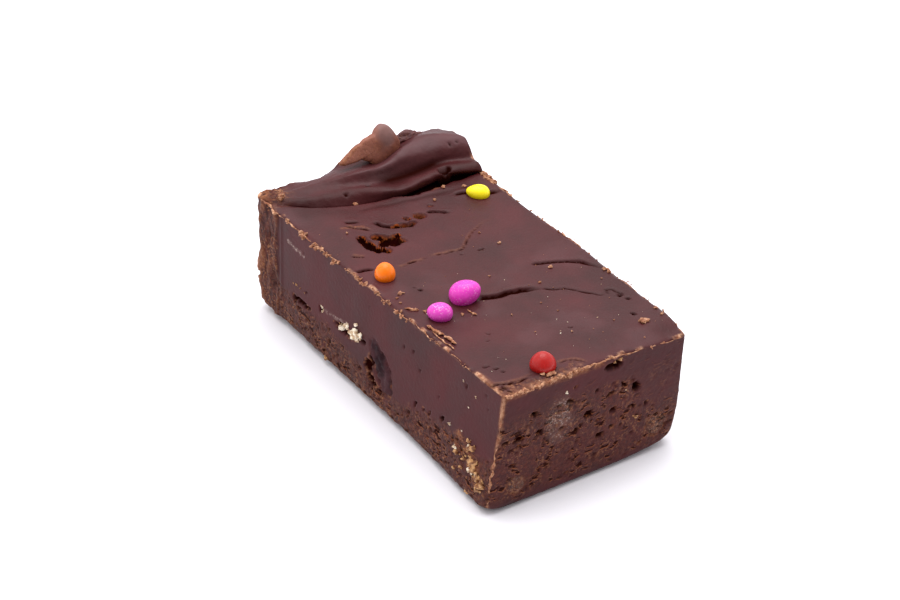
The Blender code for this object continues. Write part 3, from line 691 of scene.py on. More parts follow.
def side_relief(p, c, marks):
    """Long sides: torn band at the far end, porous foot, hollows, the candied chunk.

    Each feature is a ramp or a bell of the distance to its line or level, times noise or
    pores, and moves Y inward; the torn band moves outward too.
    """
    x, y, z = p.T.copy()
    is_front = 1.0 * (c[:, 1] < FIRST)
    is_back = 1.0 * (c[:, 1] > LAST)
    is_far = 1.0 * (c[:, 0] < FIRST)
    band = smooth((BAND_EDGE + 0.9 * noise(p * [0, 1, 1], 4.0, 41) - x) / 0.7)
    rough = layered(p * [1, 1, 0.45], 2.0, 42, 4)
    lump = noise(p * [0, 0.3, 1], 5.0, 48)
    ledge = 0.2 * bell(x, BAND_EDGE + 1.0, 0.5)
    y = y - is_front * (band * (0.35 + 0.6 * rough) + ledge)
    x = x - is_far * (0.3 + 0.55 * rough + 0.5 * lump)
    x = x - is_front * band * 0.5 * lump * ramp(x, -42.0, -45.0)
    on_band = np.maximum(band * is_front, is_far)
    raise_to(marks, "torn", on_band)
    # painted shade in the hollows of the torn band
    raise_to(marks, "pit", 0.5 * on_band * ramp(rough, -0.75, -1.15))
    raise_to(marks, "brown", 0.75 * on_band * ramp(rough, -0.15, 0.75))
    raise_to(marks, "rim", 0.45 * on_band * ramp(rough, 0.75, 1.15))

    # porous foot, with a wavy upper boundary
    knots, levels = np.array(FOOT_LEVEL).T
    level = np.interp(x, knots, levels)
    level = level + 0.9 * noise(p * [1, 0, 0], 4.0, 43) + 0.7 * noise(p, 1.4, 46)
    foot = smooth((level - z) / 3.0) * smooth((z + FOOT_DROP) / 1.2)
    small, small_rim = pores(x, z, cell=1.15, size_u=0.36, size_v=0.30, filled=0.45, seed=50)
    large, large_rim = pores(x, z, cell=2.6, size_u=0.60, size_v=0.50, filled=0.35, seed=60)
    crumb = layered(p, 1.2, 44, 3)
    scattered = pores(x, z, cell=4.6, size_u=0.35, size_v=0.35, filled=0.3, seed=65)[0]
    inward = foot * (0.40 * small + 0.70 * large - 0.16 * crumb)
    inward = inward + (1 - foot) * (0.3 * scattered + 0.10 * noise(p * [1, 1, 0.5], 5.0, 47))
    bent_x = x + 0.6 * layered(p, 1.2, 49, 2)
    bent_z = z + 0.4 * layered(p, 1.0, 53, 2)
    named = holes(bent_x, bent_z, SIDE_HOLES)
    y = y + is_front * ((1 - band) * inward + named) - is_back * 0.7 * inward
    on_foot = foot * (is_back + is_front * (1 - band))
    raise_to(marks, "torn", 0.8 * on_foot)
    raise_to(marks, "porous", on_foot)
    # painted shade in the pores of the foot
    raise_to(marks, "pit", 0.85 * on_foot * np.maximum(0.8 * small, large))
    rims = np.maximum(large_rim, 0.7 * small_rim)
    raise_to(marks, "brown", 0.95 * on_foot * rims * smooth(0.5 + crumb))
    raise_to(marks, "brown", 0.6 * on_foot * ramp(crumb, 0.5, 1.1))
    # painted shade in the scattered pores and the named hollows
    raise_to(marks, "pit", (is_back + is_front) * 0.5 * scattered * (1 - band))
    raise_to(marks, "pit", is_front * ramp(named, 0.15, 0.65))
    raise_to(marks, "brown", is_front * 0.8 * smooth(named / 0.05) * ramp(named, 0.3, 0.1))

    # grainy patch round the golden bits, and a dark cavity beside the candied chunk
    for course, wide, light, dark in (
        (((33.0, 10.4), (36.2, 9.0), (39.5, 6.8), (42.4, 4.4)), 2.4, 0.8, 0.1),
        (((0.0, 10.4), (-0.7, 7.6), (0.9, 5.4), (4.2, 3.6)), 1.6, 0.8, 1.0),
    ):
        near = is_front * smooth((wide - along(x, z, course)[0]) / (0.6 * wide))
        raise_to(marks, "torn", near)
        raise_to(marks, "brown", light * near * smooth(0.2 + 1.4 * crumb))
        # painted shade in the cavity
        raise_to(marks, "pit", dark * near * smooth(0.1 - 1.6 * crumb))
        y = y + near * dark * 0.6 * smooth(0.1 - 1.6 * crumb)

    # chunk of candied fruit: a wrinkled swelling with a broken edge
    bent_x = x + 0.5 * noise(p, 1.4, 54)
    bent_z = z + 0.4 * noise(p, 1.1, 55)
    d, part = along(bent_x, bent_z, CHUNK_LINE)[:2]
    reach = np.interp(part, np.linspace(0, 1, len(CHUNK_WIDE)), CHUNK_WIDE) + 0.3 - d
    inside = is_front * smooth(reach / 0.35)
    lining = is_front * bell(reach, 0.05, 0.28)
    y = y + 0.35 * lining - inside * (0.05 + 0.42 * layered(p, 1.1, 56, 3))
    raise_to(marks, "fruit", inside)
    # painted shade along the chunk's broken edge
    raise_to(marks, "pit", 0.7 * lining * smooth(noise(p, 1.2, 57) + 0.3))
    raise_to(marks, "brown", 0.8 * lining * ramp(z, 10.5, 8.5) * smooth(0.3 - noise(p, 1.2, 57)))
    bent_x = x + 0.2 * noise(p, 0.9, 58)
    bent_z = z + 0.25 * noise(p, 0.9, 59)
    for course, wide, dust in SMEARS:
        d = along(bent_x, bent_z, course)[0]
        dusty = smooth((1.5 - d / wide) / 0.8) * smooth(0.8 + noise(p, 0.9, 61))
        raise_to(marks, "frost", dust * is_front * dusty)
    return np.stack([x, y, z], 1)


def end_relief(p, c, marks):
    """Near end: slits that run level, a frosted patch, round inclusions, named holes.

    Pores on a grid that noise bends, bells round the inclusions and the hollows' depths
    are added up and taken from X.
    """
    x, y, z = p.T.copy()
    on = 1.0 * (c[:, 0] > LAST)
    lie = z - 0.06 * y
    busy = ramp(z, 22.0, 18.0) * ramp(z, 0.5, 2.5)
    busy = busy * (1 - 0.75 * ramp(y, 9.0, 14.0) * ramp(z, 9.0, 13.0))
    wave = noise(np.stack([y * 0.5, lie, 0 * y], 1), 2.6, 71)
    bent_y = y + 0.5 * wave
    bent_z = lie + 0.35 * wave
    slits, slit_rim = pores(bent_y, bent_z, cell=1.7, size_u=0.75, size_v=0.26, filled=0.55, seed=70)
    dots, dot_rim = pores(y, lie, cell=1.5, size_u=0.36, size_v=0.26, filled=0.4, seed=80)
    bits = layered(p, 1.0, 45, 3)
    cy, cz, hy, hz = FROST_PATCH
    frost = smooth(1.5 - np.hypot((y - cy) / hy, (z - cz) / hz))
    ring = 0.0
    crumbly = 0.5 * frost
    for cy, cz, hy, hz in INCLUSIONS:
        r = np.hypot((y - cy) / hy, (z - cz) / hz) + 0.12 * noise(p, 1.6, 74)
        ring = np.maximum(ring, bell(r, 1.0, 0.13))
        crumbly = np.maximum(crumbly, ramp(r, 1.05, 0.8))
    gate = busy * smooth(0.55 + wave)
    inward = gate * (0.55 * slits + 0.40 * dots) + 0.05 * bits
    inward = inward + crumbly * (0.20 * bits + 0.20 * dots) + 0.25 * ring
    bent_y = y + 0.45 * layered(p, 1.2, 72, 2)
    bent_z = z + 0.30 * layered(p, 1.0, 73, 2)
    named = holes(bent_y, bent_z, END_HOLES)
    x = x - on * (inward + named)
    # painted shade in the slits, dots and named holes
    raise_to(marks, "pit", on * 0.6 * gate * np.maximum(slits, dots))
    raise_to(marks, "pit", on * ramp(named, 0.12, 0.72))
    raise_to(marks, "brown", on * 0.6 * gate * np.maximum(slit_rim, dot_rim) * smooth(bits + 0.5))
    raise_to(marks, "brown", on * 0.7 * smooth(named / 0.05) * ramp(named, 0.55, 0.15))
    raise_to(marks, "brown", on * 0.7 * ring * smooth(0.6 + bits))
    raise_to(marks, "brown", on * 0.4 * crumbly * smooth(-bits))
    raise_to(marks, "frost", on * frost * smooth(0.7 + noise(p, 1.3, 75)))
    raise_to(marks, "frost", on * 0.35 * crumbly)
    raise_to(marks, "brown", on * 0.45 * np.maximum(frost, crumbly) * smooth(bits))
    raise_to(marks, "porous", on * np.maximum(busy, 0.2))
    raise_to(marks, "torn", on * np.maximum(0.55 * busy, crumbly))
    return np.stack([x, y, z], 1)


def flake():
    """Torn flake standing up: a flattened ball pulled to an outline, with a smooth knob.

    A point keeps its angle round the outline's middle, its distance from there is the
    outline's times its own, and its thickness is a power of its height in the ball; the
    knob is a bell that thickens it, and noise roughens the rest.
    """
    points, quads, caps = ball(120, 60)
    outline = np.array(FLAKE)[::-1]
    middle = outline.mean(0)
    angle = np.unwrap(np.arctan2(*(outline - middle).T[::-1]))
    around = np.arctan2(points[:, 1], points[:, 0])
    reach = np.hypot(*(outline - middle).T)
    at = (around - angle[0]) % (2 * np.pi) + angle[0]
    radius = np.interp(at, np.append(angle, angle[0] + 2 * np.pi), np.append(reach, reach[0]))
    wide = np.hypot(points[:, 0], points[:, 1]) ** 0.8
    y = middle[0] + radius * wide * np.cos(around)
    z = middle[1] + radius * wide * np.sin(around)
    thick = np.sign(points[:, 2]) * np.abs(points[:, 2]) ** 0.45 * FLAKE_AT["thick"]
    x = FLAKE_AT["x"] + FLAKE_AT["lean"] * (z - middle[1]) + thick
    p = np.stack([x, y, z - FLAKE_AT["sunk"]], 1)
    knob = bell(y, 8.2, 2.7) * bell(z, 35.4, 3.2)
    p[:, 0] += points[:, 2] * (knob + 0.5 * ramp(z, 33.5, 29.5))
    rough = layered(p, 1.6, 96, 4)
    broken = smooth((0.78 - knob + 0.15 * rough) / 0.6)
    p = p + (0.03 + 0.07 * broken[:, None]) * rough[:, None] * points
    left = ramp(wide, 0.86, 0.92) * ramp(y, 3.5, 0.5)
    foot = ramp(wide, 0.9, 0.95) * ramp(z, 30.8, 29.8) * smooth(0.8 + rough)
    marks = {"torn": 0.35 * broken, "rim": 0.9 * foot, "brown": 0.6 * left, "bloom": 1 - broken}
    return p, (quads, caps), marks


def crumbs(centres, sizes, seed, stretch=(1.0, 1.0, 0.8)):
    """Small torn crumbs as one mesh: balls stretched and turned by chance, dented by noise.

    A point is its place on the unit ball times the stretch, turned about Z, times one plus
    the noise there, times the size, moved to the crumb's centre.
    """
    unit, quads, caps = ball(16, 11)
    rng = np.random.default_rng(seed)
    count = len(centres)
    centres = np.asarray(centres, float)
    sizes = np.asarray(sizes, float)
    turn = rng.uniform(0, 2 * np.pi, count)
    shape = np.array(stretch) * rng.uniform(0.45, 1.55, (count, 3))
    body = unit[None] * shape[:, None]
    c = np.cos(turn)[:, None]
    s = np.sin(turn)[:, None]
    x, y, z = np.moveaxis(body, -1, 0)
    body = np.stack([c * x - s * y, s * x + c * y, z], -1)
    own = (unit[None] + 7.0 * np.arange(count)[:, None, None]).reshape(-1, 3)
    bumps = (0.55 * noise(own, 0.9, seed) + 0.35 * noise(own, 0.42, seed + 1)).reshape(count, -1, 1)
    body = body * (1 + bumps) * sizes[:, None, None] + centres[:, None]
    step = (np.arange(count) * len(unit))[:, None, None]
    faces = ((quads + step).reshape(-1, 4), (caps + step).reshape(-1, 3))
    total = count * len(unit)
    rim = 0.35 + 0.6 * np.clip(bumps.reshape(-1), -0.5, 1)
    marks = {"torn": np.full(total, 0.8), "brown": np.full(total, 0.8), "rim": rim}
    return body.reshape(-1, 3), faces, marks


def burr(line, axis, low, high, radius, seed, weight=None, flat=1.0, steady=0.15):
    """Ragged thread along a line of points: a closed tube whose radius and course wander.

    The radius follows layered noise along the thread, times the weight at each place,
    and falls to nothing at both ends. Weight is rows of a place and its share of the
    radius, flat is how high the tube is for its width, and steady is the share of the
    radius that the noise leaves alone.
    """
    line = line[np.argsort(line[:, axis])]
    at = np.arange(low, high, 0.14)
    path = np.stack([np.interp(at, line[:, axis], line[:, k]) for k in range(3)], 1)
    here = path + 50.0 + seed
    path = path + 0.22 * np.stack([noise(here, 1.1, seed + k) for k in range(3)], 1)
    thick = radius * np.clip(steady + (1.1 - steady) * layered(here, 1.9, seed + 5, 3), 0.06, 1.15)
    if weight is not None:
        thick = thick * np.interp(at, *np.array(weight).T)
    step = np.arange(len(at))
    thick = thick * np.minimum(1, np.minimum(step, step[::-1]) / 4.0) + 1e-4
    go = np.gradient(path, axis=0)
    go = go / np.linalg.norm(go, axis=1)[:, None]
    side = np.cross(go, [0.1, 0.2, 1.0])
    side = side / np.linalg.norm(side, axis=1)[:, None]
    up = np.cross(side, go)
    sides = 9
    angle = 2 * np.pi * np.arange(sides) / sides
    across = np.cos(angle)[None, :, None] * side[:, None]
    ring = across + flat * np.sin(angle)[None, :, None] * up[:, None]
    body = path[:, None] + thick[:, None, None] * ring
    lumps = noise(body.reshape(-1, 3), 0.45, seed + 9).reshape(len(at), sides, 1)
    body = body + 0.55 * thick[:, None, None] * ring * lumps
    k = np.arange(sides)
    n = (k + 1) % sides
    row = (step[:-1] * sides)[:, None]
    quads = np.stack([row + k, row + n, row + sides + n, row + sides + k], -1).reshape(-1, 4)
    last = (len(at) - 1) * sides
    caps = np.array([k[::-1], last + k])
    rim = np.clip(0.45 + 0.6 * lumps.reshape(-1), 0, 1)
    marks = {"torn": np.ones(len(rim)), "brown": np.ones(len(rim)), "rim": rim}
    return body.reshape(-1, 3), (quads, caps), marks


def strewn_on(line, axis, at, spread_by, seed):
    """Places on a line of points at these values along an axis, jittered on each axis."""
    line = line[np.argsort(line[:, axis])]
    rng = np.random.default_rng(seed)
    out = np.stack([np.interp(at, line[:, axis], line[:, k]) for k in range(3)], 1)
    return out + rng.normal(0, 1, out.shape) * np.array(spread_by)


def ball(sides, rings):
    """Unit ball as rings between two poles, and its faces."""
    lat = np.pi * np.arange(1, rings) / rings
    lon = 2 * np.pi * np.arange(sides) / sides
    lat, lon = np.meshgrid(lat, lon, indexing="ij")
    points = np.stack([np.sin(lat) * np.cos(lon), np.sin(lat) * np.sin(lon), np.cos(lat)], -1)
    points = np.concatenate([[[0, 0, 1]], points.reshape(-1, 3), [[0, 0, -1]]])
    k = np.arange(sides)
    n = (k + 1) % sides
    last = 1 + (rings - 1) * sides
    caps = np.concatenate([
        np.stack([0 * k, 1 + k, 1 + n], 1),
        np.stack([0 * k + last, last - sides + n, last - sides + k], 1),
    ])
    row = (1 + np.arange(rings - 2) * sides)[:, None]
    quads = np.stack([row + k, row + sides + k, row + sides + n, row + n], -1).reshape(-1, 4)
    return points, quads, caps


def turned(points, angle, axes):
    """Points turned by this many degrees in the plane of two axes, first toward second."""
    h = np.radians(angle)
    a, b = points[:, axes].T
    out = points.copy()
    out[:, axes[0]] = np.cos(h) * a - np.sin(h) * b
    out[:, axes[1]] = np.sin(h) * a + np.cos(h) * b
    return out


def place(name, shape, mat, node=None):
    """Piece from points in millimetres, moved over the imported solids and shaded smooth.

    A shape is its points, its faces and, where the material reads them, its marks.
    """
    points, faces, *marks = shape
    mesh = bpy.data.meshes.new(name)
    polys = [face.tolist() for group in faces for face in group]
    mesh.from_pydata(((points + SHIFT) * MM).tolist(), [], polys)
    mesh.polygons.foreach_set("use_smooth", np.ones(len(mesh.polygons), bool))
    mesh.materials.append(mat)
    for mark, values in (marks[0] if marks else {}).items():
        layer = mesh.attributes.new(mark, "FLOAT", "POINT")
        layer.data.foreach_set("value", np.asarray(values, np.float32))
    mesh.update()
    piece = bpy.data.objects.new(name, mesh)
    bpy.context.scene.collection.objects.link(piece)
    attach(piece, "root")
    if node:
        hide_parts(node)


def linear(code):
    """Linear colour of an sRGB hex value."""
    parts = np.array([int(code[k:k + 2], 16) for k in (1, 3, 5)]) / 255.0
    parts = np.where(parts <= 0.04045, parts / 12.92, ((parts + 0.055) / 1.055) ** 2.4)
    return (*parts.tolist(), 1.0)


def add(tree, kind, inputs=(), output=None, **settings):
    """Add a node with its settings; its inputs are values or links, by name or in order.

    Returns the output of that name, or else the first one that is in use.
    """
    node = tree.nodes.new("ShaderNode" + kind)
    for key, value in settings.items():
        setattr(node, key, value)
    if isinstance(inputs, dict):
        pairs = [(node.inputs[key], value) for key, value in inputs.items()]
    else:
        pairs = zip([socket for socket in node.inputs if socket.enabled], inputs)
    for socket, value in pairs:
        if isinstance(value, bpy.types.NodeSocket):
            tree.links.new(value, socket)
        else:
            socket.default_value = value
    if output:
        return node.outputs[output]
    return next(socket for socket in node.outputs if socket.enabled)


def start(name):
    """New material: itself, its tree, its shader's inputs and the object coordinates."""
    mat = bpy.data.materials.new(name)
    mat.use_nodes = True
    tree = mat.node_tree
    return mat, tree, tree.nodes["Principled BSDF"].inputs, add(tree, "TexCoord", output="Object")


def chocolate_fudge(name, low, high, pale):
    """Poured chocolate fudge, cut with a blade: a satin skin over a dark red-brown body.

    The poured top is smooth enough to show a broad soft sheen, so level faces look greyer
    and paler than the folds, and the cut faces are duller. Where the fudge broke it is
    matte and browner, with slits that run level, and its thin ragged edges are tan,
    because fine fat crystals scatter the light there. Low and high are the two colours
    that cloud the skin, and pale is the skin where it has gone pale, a colour that also
    serves as painted light on the wall of the fold.
    """
    mat, tree, shader, where = start(name)
    mark = {kind: add(tree, "Attribute", output="Fac", attribute_name=kind) for kind in MARKS}

    # scales are per metre: clouds of 14 mm, patches of 4 mm, grains of 0.8 mm and crumbs
    # of 0.55 mm, a little coarser than the real ones so that they show
    pattern = {}
    for kind, scale, detail, roughness in (
        ("cloudy", 70.0, 5.0, 0.6),
        ("patch", 260.0, 3.0, 0.5),
        ("grain", 1300.0, 3.0, 0.5),
        ("crumb", 1800.0, 3.0, 0.6),
    ):
        pattern[kind] = add(tree, "TexNoise", (where, scale, detail, roughness))
    speck = add(tree, "TexVoronoi", (where, 2200.0))

    # slits twice as long as high; sampled again just above, they give their own lower rims, which get a
    # painted highlight
    slit = []
    for lift in (0.0, 0.00026):
        level = add(tree, "Mapping", (where, (0.0, 0.0, lift), (0.0, 0.0, 0.0), (0.5, 0.5, 1.1)))
        drawn = add(tree, "TexNoise", (level, 1150.0, 3.0))
        slit.append(add(tree, "MapRange", (drawn, 0.385, 0.44, 1.0, 0.0)))
    rim = add(tree, "Math", (slit[1], slit[0]), operation="SUBTRACT")

    # how much of each thing shows at a point: a pattern times what the shape says there
    sandy = add(tree, "MapRange", (pattern["crumb"], 0.54, 0.61, 0.0, 0.8))
    sandy = add(tree, "Math", (sandy, mark["torn"]), operation="MULTIPLY")
    dusty = add(tree, "MapRange", (speck, 0.15, 0.50, 0.62, 0.12))
    in_patches = add(tree, "MapRange", (pattern["patch"], 0.46, 0.54, 0.12, 1.0))
    in_clumps = add(tree, "MapRange", (pattern["patch"], 0.44, 0.56, 0.25, 1.0))
    share = {"gate": add(tree, "Math", (in_patches, mark["porous"]), operation="MULTIPLY")}
    for kind, a, b in (
        ("pore", slit[0], share["gate"]),
        ("painted_under_rim", rim, share["gate"]),
        ("grit", sandy, in_clumps),
        ("dust", dusty, mark["frost"]),
        ("fruit", mark["fruit"], 0.9),
        ("dull_fruit", mark["fruit"], 0.6),
        ("dull_torn", mark["torn"], 0.66),
        ("fine", pattern["grain"], 0.18),
    ):
        share[kind] = add(tree, "Math", (a, b), operation="MULTIPLY")
    # painted shade: drawn slits, pits, grooves and the fold's shaded places get a near-black brown
    deep_pore = add(tree, "Math", (share["pore"], 0.9), operation="MULTIPLY")
    in_painted_shade = add(tree, "MapRange", (mark["pit"], 0.0, 0.7))
    deep = add(tree, "Math", (in_painted_shade, deep_pore), operation="MAXIMUM")
    painted_rim_highlight = add(tree, "Math", (share["painted_under_rim"], 0.0), operation="MAXIMUM")
    in_crater = add(tree, "MapRange", (mark["gloss"], 0.1, 0.45))
    uneven = add(tree, "MapRange", (pattern["grain"], 0.4, 0.65, 0.1, -0.5))
    crater_depth = add(tree, "Math", (mark["gloss"], uneven), operation="ADD")

    # two tones for each state of the fudge, mottled by a pattern
    tone = {}
    for kind, drawn, low_end, high_end, dark, light in (
        ("skin", pattern["cloudy"], 0.35, 0.65, low, high),
        ("broken", pattern["grain"], 0.38, 0.62, "#340f0c", "#552418"),
        ("brown", pattern["crumb"], 0.36, 0.64, "#6a3018", "#96603c"),
        ("tan", pattern["grain"], 0.40, 0.60, "#a0664a", "#e4b08c"),
        # crater tone: orange where shallow, painted light through the thin rim, to near black in the
        # depth, painted shade
        ("shaded_crater", crater_depth, 0.10, 0.55, "#8c4218", "#1c0403"),
        ("plum", pattern["patch"], 0.42, 0.60, "#1e0c12", "#42262a"),
    ):
        amount = add(tree, "MapRange", (drawn, low_end, high_end))
        tone[kind] = add(tree, "Mix", (amount, linear(dark), linear(light)), data_type="RGBA")
    colour = tone["skin"]
    for amount, over in (
        # pale skin, which on the fold's wall is painted light
        (mark["bloom"], linear(pale)),
        (mark["torn"], tone["broken"]),
        (share["grit"], linear("#94603e")),
        (share["fruit"], tone["plum"]),
        # painted shade, and painted light on the thin rim, inside the craters
        (in_crater, tone["shaded_crater"]),
        (mark["brown"], tone["brown"]),
        # painted shade in pores, pits, grooves and the fold's shaded places
        (deep, linear("#240805")),
        # painted highlight on the lower rims of the slits
        (painted_rim_highlight, linear("#7c4224")),
        (mark["rim"], tone["tan"]),
        (share["dust"], linear("#b49c92")),
    ):
        colour = add(tree, "Mix", (amount, colour, over), data_type="RGBA")
    tree.links.new(colour, shader["Base Color"])

    # the painted shade of pores, pits and grooves and the shaded craters also lose their sheen, and the
    # fruit gives back little sheen
    swallowed = deep
    for much in (add(tree, "MapRange", (mark["gloss"], 0.1, 0.6)), share["dull_fruit"]):
        swallowed = add(tree, "Math", (swallowed, much), operation="MAXIMUM")
    sheen = add(tree, "MapRange", (swallowed, 0.0, 1.0, 0.5, 0.0))
    tree.links.new(sheen, shader["Specular IOR Level"])

    duller_cut = add(tree, "MapRange", (mark["cut"], 0.0, 1.0, 0.45, 0.57))
    duller_cloud = add(tree, "MapRange", (pattern["cloudy"], 0.35, 0.65, 0.0, 0.1))
    rough = add(tree, "Math", (duller_cut, duller_cloud), operation="ADD")
    for much in (share["dull_torn"], add(tree, "MapRange", (mark["pit"], 0.3, 0.8))):
        rough = add(tree, "Math", (rough, much), operation="MAXIMUM")
    tree.links.new(rough, shader["Roughness"])
    shader["IOR"].default_value = 1.33

    sunk = add(tree, "Math", (share["pore"], 0.7), operation="MULTIPLY")
    coarse = add(tree, "Math", (pattern["crumb"], sunk), operation="SUBTRACT")
    height = add(tree, "Mix", (mark["torn"], share["fine"], coarse), data_type="FLOAT")
    bump = add(tree, "Bump", {"Height": height, "Strength": 0.8, "Distance": 0.5 * MM})
    tree.links.new(bump, shader["Normal"])
    return mat


def crushed_biscuit(name, dark, light, rough):
    """Broken biscuit or nougat: matte, two tones mottled at the 0.9 mm size of its crumbs."""
    mat, tree, shader, where = start(name)
    crumb = add(tree, "TexNoise", (where, 1100.0, 4.0))
    amount = add(tree, "MapRange", (crumb, 0.42, 0.58))
    colour = add(tree, "Mix", (amount, linear(dark), linear(light)), data_type="RGBA")
    tree.links.new(colour, shader["Base Color"])
    shader["Roughness"].default_value = rough
    bump = add(tree, "Bump", {"Height": crumb, "Strength": 0.6, "Distance": 0.0003})
    tree.links.new(bump, shader["Normal"])
    return mat


def sugar_shell(name, code, frost):
    """Panned sugar shell: satin and even, or dusted with pale sugar grains of 0.4 mm."""
    mat, tree, shader, where = start(name)
    grains = add(tree, "TexVoronoi", (where, 2600.0))
    soft = add(tree, "TexNoise", (where, 1000.0, 2.0))
    speck = add(tree, "MapRange", (grains, 0.12, 0.42, frost, 0.0))
    patchy = add(tree, "MapRange", (soft, 0.4, 0.65))
    amount = add(tree, "Math", (speck, patchy), operation="MULTIPLY")
    pale = tuple(0.45 + 0.55 * v for v in linear(code)[:3]) + (1.0,)
    colour = add(tree, "Mix", (amount, linear(code), pale), data_type="RGBA")
    tree.links.new(colour, shader["Base Color"])
    shader["Roughness"].default_value = 0.32
    shader["IOR"].default_value = 1.40
    bump = add(tree, "Bump", {"Height": grains, "Strength": 0.3, "Distance": 0.00006})
    tree.links.new(bump, shader["Normal"])
    return mat


def floor_and_light():
    """White sweep in a light tent that is open toward the camera, with two soft lamps."""
    mat, _, shader, _ = start("white_card")
    shader["Base Color"].default_value = linear("#f4f3f8")
    shader["Roughness"].default_value = 0.9
    shader["Specular IOR Level"].default_value = 0.1
    mesh = bpy.data.meshes.new("floor")
    corners = np.array([(-1, -1, 0), (1, -1, 0), (1, 1, 0), (-1, 1, 0)]) * FLOOR_HALF
    mesh.from_pydata(corners.tolist(), [], [(0, 1, 2, 3)])
    mesh.materials.append(mat)
    floor = bpy.data.objects.new("floor", mesh)
    bpy.context.scene.collection.objects.link(floor)

    world = bpy.data.worlds.new("tent")
    world.use_nodes = True
    tree = world.node_tree
    where = add(tree, "TexCoord", output="Generated")

    # a share that grows toward the camera turns the tent down there
    h = np.radians(CAMERA_ROUND)
    ahead = (np.sin(h), -np.cos(h), 0.0)
    toward = add(tree, "VectorMath", {0: where, 1: ahead}, "Value", operation="DOT_PRODUCT")
    strength = add(tree, "MapRange", (toward, 0.15, 0.75, *TENT))
    sky = tree.nodes["Background"].inputs
    sky["Color"].default_value = (1.0, 0.985, 1.0, 1.0)
    tree.links.new(strength, sky["Strength"])
    bpy.context.scene.world = world

    for name, at, size, power in LAMPS:
        lamp = bpy.data.lights.new(name, "AREA")
        lamp.size = size
        lamp.energy = power
        obj = bpy.data.objects.new(name, lamp)
        obj.location = at
        x, y, z = at
        obj.rotation_euler = (np.arctan2(np.hypot(x, y), z), 0.0, np.arctan2(x, -y))
        bpy.context.scene.collection.objects.link(obj)


def camera():
    """Camera where the photograph was taken from."""
    data = bpy.data.cameras.new("camera")
    data.lens = CAMERA_LENS
    data.sensor_width = 36.0
    data.clip_start = 0.01
    obj = bpy.data.objects.new("camera", data)
    obj.location = np.array(CAMERA_AT) * MM
    obj.rotation_euler = (np.radians(90 - CAMERA_DOWN), 0.0, np.radians(CAMERA_ROUND))
    bpy.context.scene.collection.objects.link(obj)
    bpy.context.scene.camera = obj


camera()
floor_and_light()
bpy.context.scene.view_settings.view_transform = "Standard"

fudge = chocolate_fudge("poured_chocolate_fudge", "#380b0d", "#4c191c", "#6a464a")
biscuit = crushed_biscuit("cream_biscuit_crumb", "#c8a884", "#fff2dc", 0.7)
dried = chocolate_fudge("dried_fudge_flake", "#80493a", "#b87862", "#7e5a55")
nougat = crushed_biscuit("golden_nougat", "#7c4a26", "#cc9a64", 0.5)

cells, quads, fan = lattice(*CELLS)
block_points, fold = block(cells)
block_points, block_marks = relief(block_points, cells, fold)
place("fudge_block", (block_points, (quads, fan), block_marks), fudge, node="fudge")
place("crest_flake", flake(), dried)

top = cells[:, 2] > LAST
front_wall = cells[:, 1] < FIRST
end_wall = cells[:, 0] > LAST
top_points = block_points[top]
front_edge = block_points[top & front_wall]
back_edge = block_points[top & (cells[:, 1] > LAST)]
near_edge = block_points[top & end_wall]
near_corner = block_points[end_wall & front_wall]


def on_top(xy, lift):
    """Places on the top at these X and Y, raised by lift."""
    xy = np.asarray(xy, float)
    d = np.hypot(top_points[None, :, 0] - xy[:, :1], top_points[None, :, 1] - xy[:, 1:2])
    return np.column_stack([xy, top_points[d.argmin(1), 2] + lift])


def set_in_wall(rows, on_wall, across, seed):
    """Clusters of bits at the named places of a wall, on its surface.

    A row is the place across and its height, and a half size; across is the axis that runs
    along the wall. The first bit of each cluster is the largest and sits at the place
    itself, and the others lie round it.
    """
    rows = np.array(rows).repeat(CLUSTER, 0)
    jitter = np.random.default_rng(seed)
    largest = np.arange(len(rows)) % CLUSTER == 0
    apart = np.where(largest, 0.0, 0.5)[:, None]
    rows[:, :2] += jitter.normal(0, 1, (len(rows), 2)) * rows[:, 2:] * apart
    size = rows[:, 2] * np.where(largest, 0.7, jitter.uniform(0.15, 0.42, len(rows)))
    wall = block_points[on_wall]
    d = np.hypot(wall[None, :, across] - rows[:, :1], wall[None, :, 2] - rows[:, 1:2])
    at = wall[d.argmin(1)].copy()
    at[:, across] = rows[:, 0]
    at[:, 2] = rows[:, 1]
    return crumbs(at, size, seed + 1)


for name, line, axis, low, high, radius, weight, steady, seed in (
    ("front_edge_burr", front_edge, 0, -44.0, 44.6, 0.28, FRONT_BURR, 0.35, 200),
    ("near_edge_burr", near_edge, 1, -19.4, 22.8, 0.32, NEAR_BURR, 0.6, 220),
    ("back_edge_burr", back_edge, 0, -27.0, 44.6, 0.32, BACK_BURR, 0.15, 240),
    ("corner_burr", near_corner, 2, 2.0, 25.6, 0.28, CORNER_BURR, 0.35, 260),
):
    place(name, burr(line, axis, low, high, radius, seed, weight, steady=steady), fudge)

# crumbs: in clumps along the front edge, loose along the near and back edges and on the top
rng = np.random.default_rng(11)
clump_x, clump_size = np.array(EDGE_CLUMPS).repeat(CLUMP, 0).T
at = clump_x + rng.normal(0, 0.6, len(clump_x))
size = clump_size * rng.uniform(0.25, 0.85, len(at))
places = strewn_on(front_edge, 0, at, (0.0, 0.30, 0.20), 12)
place("front_edge_crumbs", crumbs(places, size, 13), fudge)

at = np.concatenate([rng.uniform(-19, 0, 60), rng.uniform(0, 22, 20)])
size = rng.uniform(0.10, 0.34, len(at)) * np.where(at < 0, 1.1, 0.7)
places = strewn_on(near_edge, 1, at, (0.22, 0.0, 0.10), 14)
place("near_edge_crumbs", crumbs(places, size, 15), fudge)

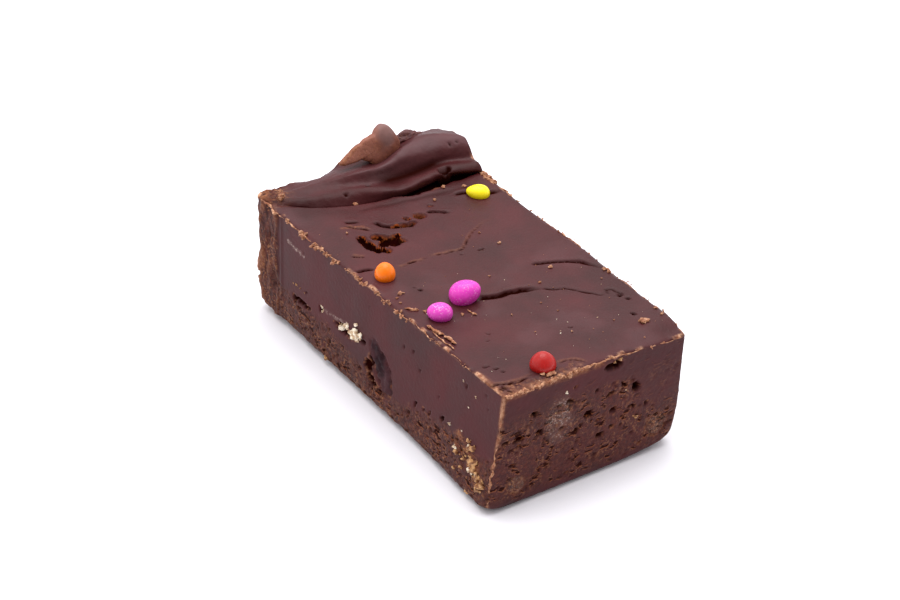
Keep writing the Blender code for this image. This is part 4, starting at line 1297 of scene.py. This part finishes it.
at = np.concatenate([rng.uniform(-24, 44, 40), rng.normal(-24.2, 1.7, 44)])
size = np.where(np.arange(len(at)) < 40, 0.22, 0.62) * rng.uniform(0.5, 1.1, len(at))
places = strewn_on(back_edge, 0, at, (0.0, 0.20, 0.12), 16)
place("back_edge_crumbs", crumbs(places, size, 17), fudge)

loose = np.array(TOP_CRUMBS).repeat(LOOSE, 0)
at = loose[:, :2] + rng.normal(0, 0.34, (len(loose), 2)) * loose[:, 2:]
size = loose[:, 2] * rng.uniform(0.35, 0.8, len(at))
place("top_crumbs", crumbs(on_top(at, 0.12), size, 18, (1.0, 1.0, 0.7)), fudge)

for number, (ends, wide) in enumerate(SHAVINGS, 1):
    ends = np.array(ends)
    part = np.linspace(0, 1, 9)[:, None]
    line = on_top(ends[0] * (1 - part) + ends[1] * part, 0.20)
    axis = int(np.argmax(np.abs(ends[1] - ends[0])))
    low, high = np.sort(ends[:, axis])
    shaving = burr(line, axis, low, high, wide, 280 + 20 * number, flat=0.6, steady=0.9)
    place("shaving_%d" % number, shaving, fudge)

for name, mat, total, x_range, y_range, size_range, seed in (
    ("top_specks", fudge, 40, (-26, 44), (-21, 21), (0.06, 0.12), 19),
    ("sugar_specks", biscuit, 34, (0, 44), (-18, 22), (0.05, 0.10), 20),
):
    at = np.column_stack([rng.uniform(*x_range, total), rng.uniform(*y_range, total)])
    specks = crumbs(on_top(at, 0.04), rng.uniform(*size_range, total), seed)
    place(name, specks if mat is fudge else specks[:2], mat)

points, quads, caps = ball(72, 48)
points = points * (1 + 0.30 * layered(points, 0.9, 91, 3)[:, None]) * CREST_CRUMB[1]
rim = 0.4 * smooth((layered(points, 0.8, 92, 2) - 0.7) / 0.4)
marks = {"torn": np.full(len(points), 0.5), "bloom": np.full(len(points), 0.7), "rim": rim}
place("crest_lump", (points + CREST_CRUMB[0], (quads, caps), marks), fudge)

for name, mat, rows, wall, across, seed in (
    ("cream_bits", biscuit, CREAM_BITS, front_wall, 0, 51),
    ("golden_bits", nougat, GOLDEN_BITS, front_wall, 0, 53),
    ("end_cream_bits", biscuit, END_CREAM_BITS, end_wall, 1, 55),
    ("end_golden_bits", nougat, END_GOLDEN_BITS, end_wall, 1, 57),
):
    place(name, set_in_wall(rows, wall, across, seed)[:2], mat)

for name, (centre, half, narrower, roll, slot, shell) in CANDIES.items():
    points, quads, caps = ball(72, 48)
    taper = 1 - narrower[0] * points[:, 0:1] * [0, 1, 1] - narrower[1] * points[:, 2:3] * [1, 1, 0]
    points = points * taper * half
    points = points * (1 + 0.015 * noise(points, 1.6, 7)[:, None])
    points = turned(turned(points, roll, [0, 2]), CANDY_HEADING, [0, 1]) + centre
    place(name + "_shell", (points, (quads, caps)), sugar_shell(*shell), name)
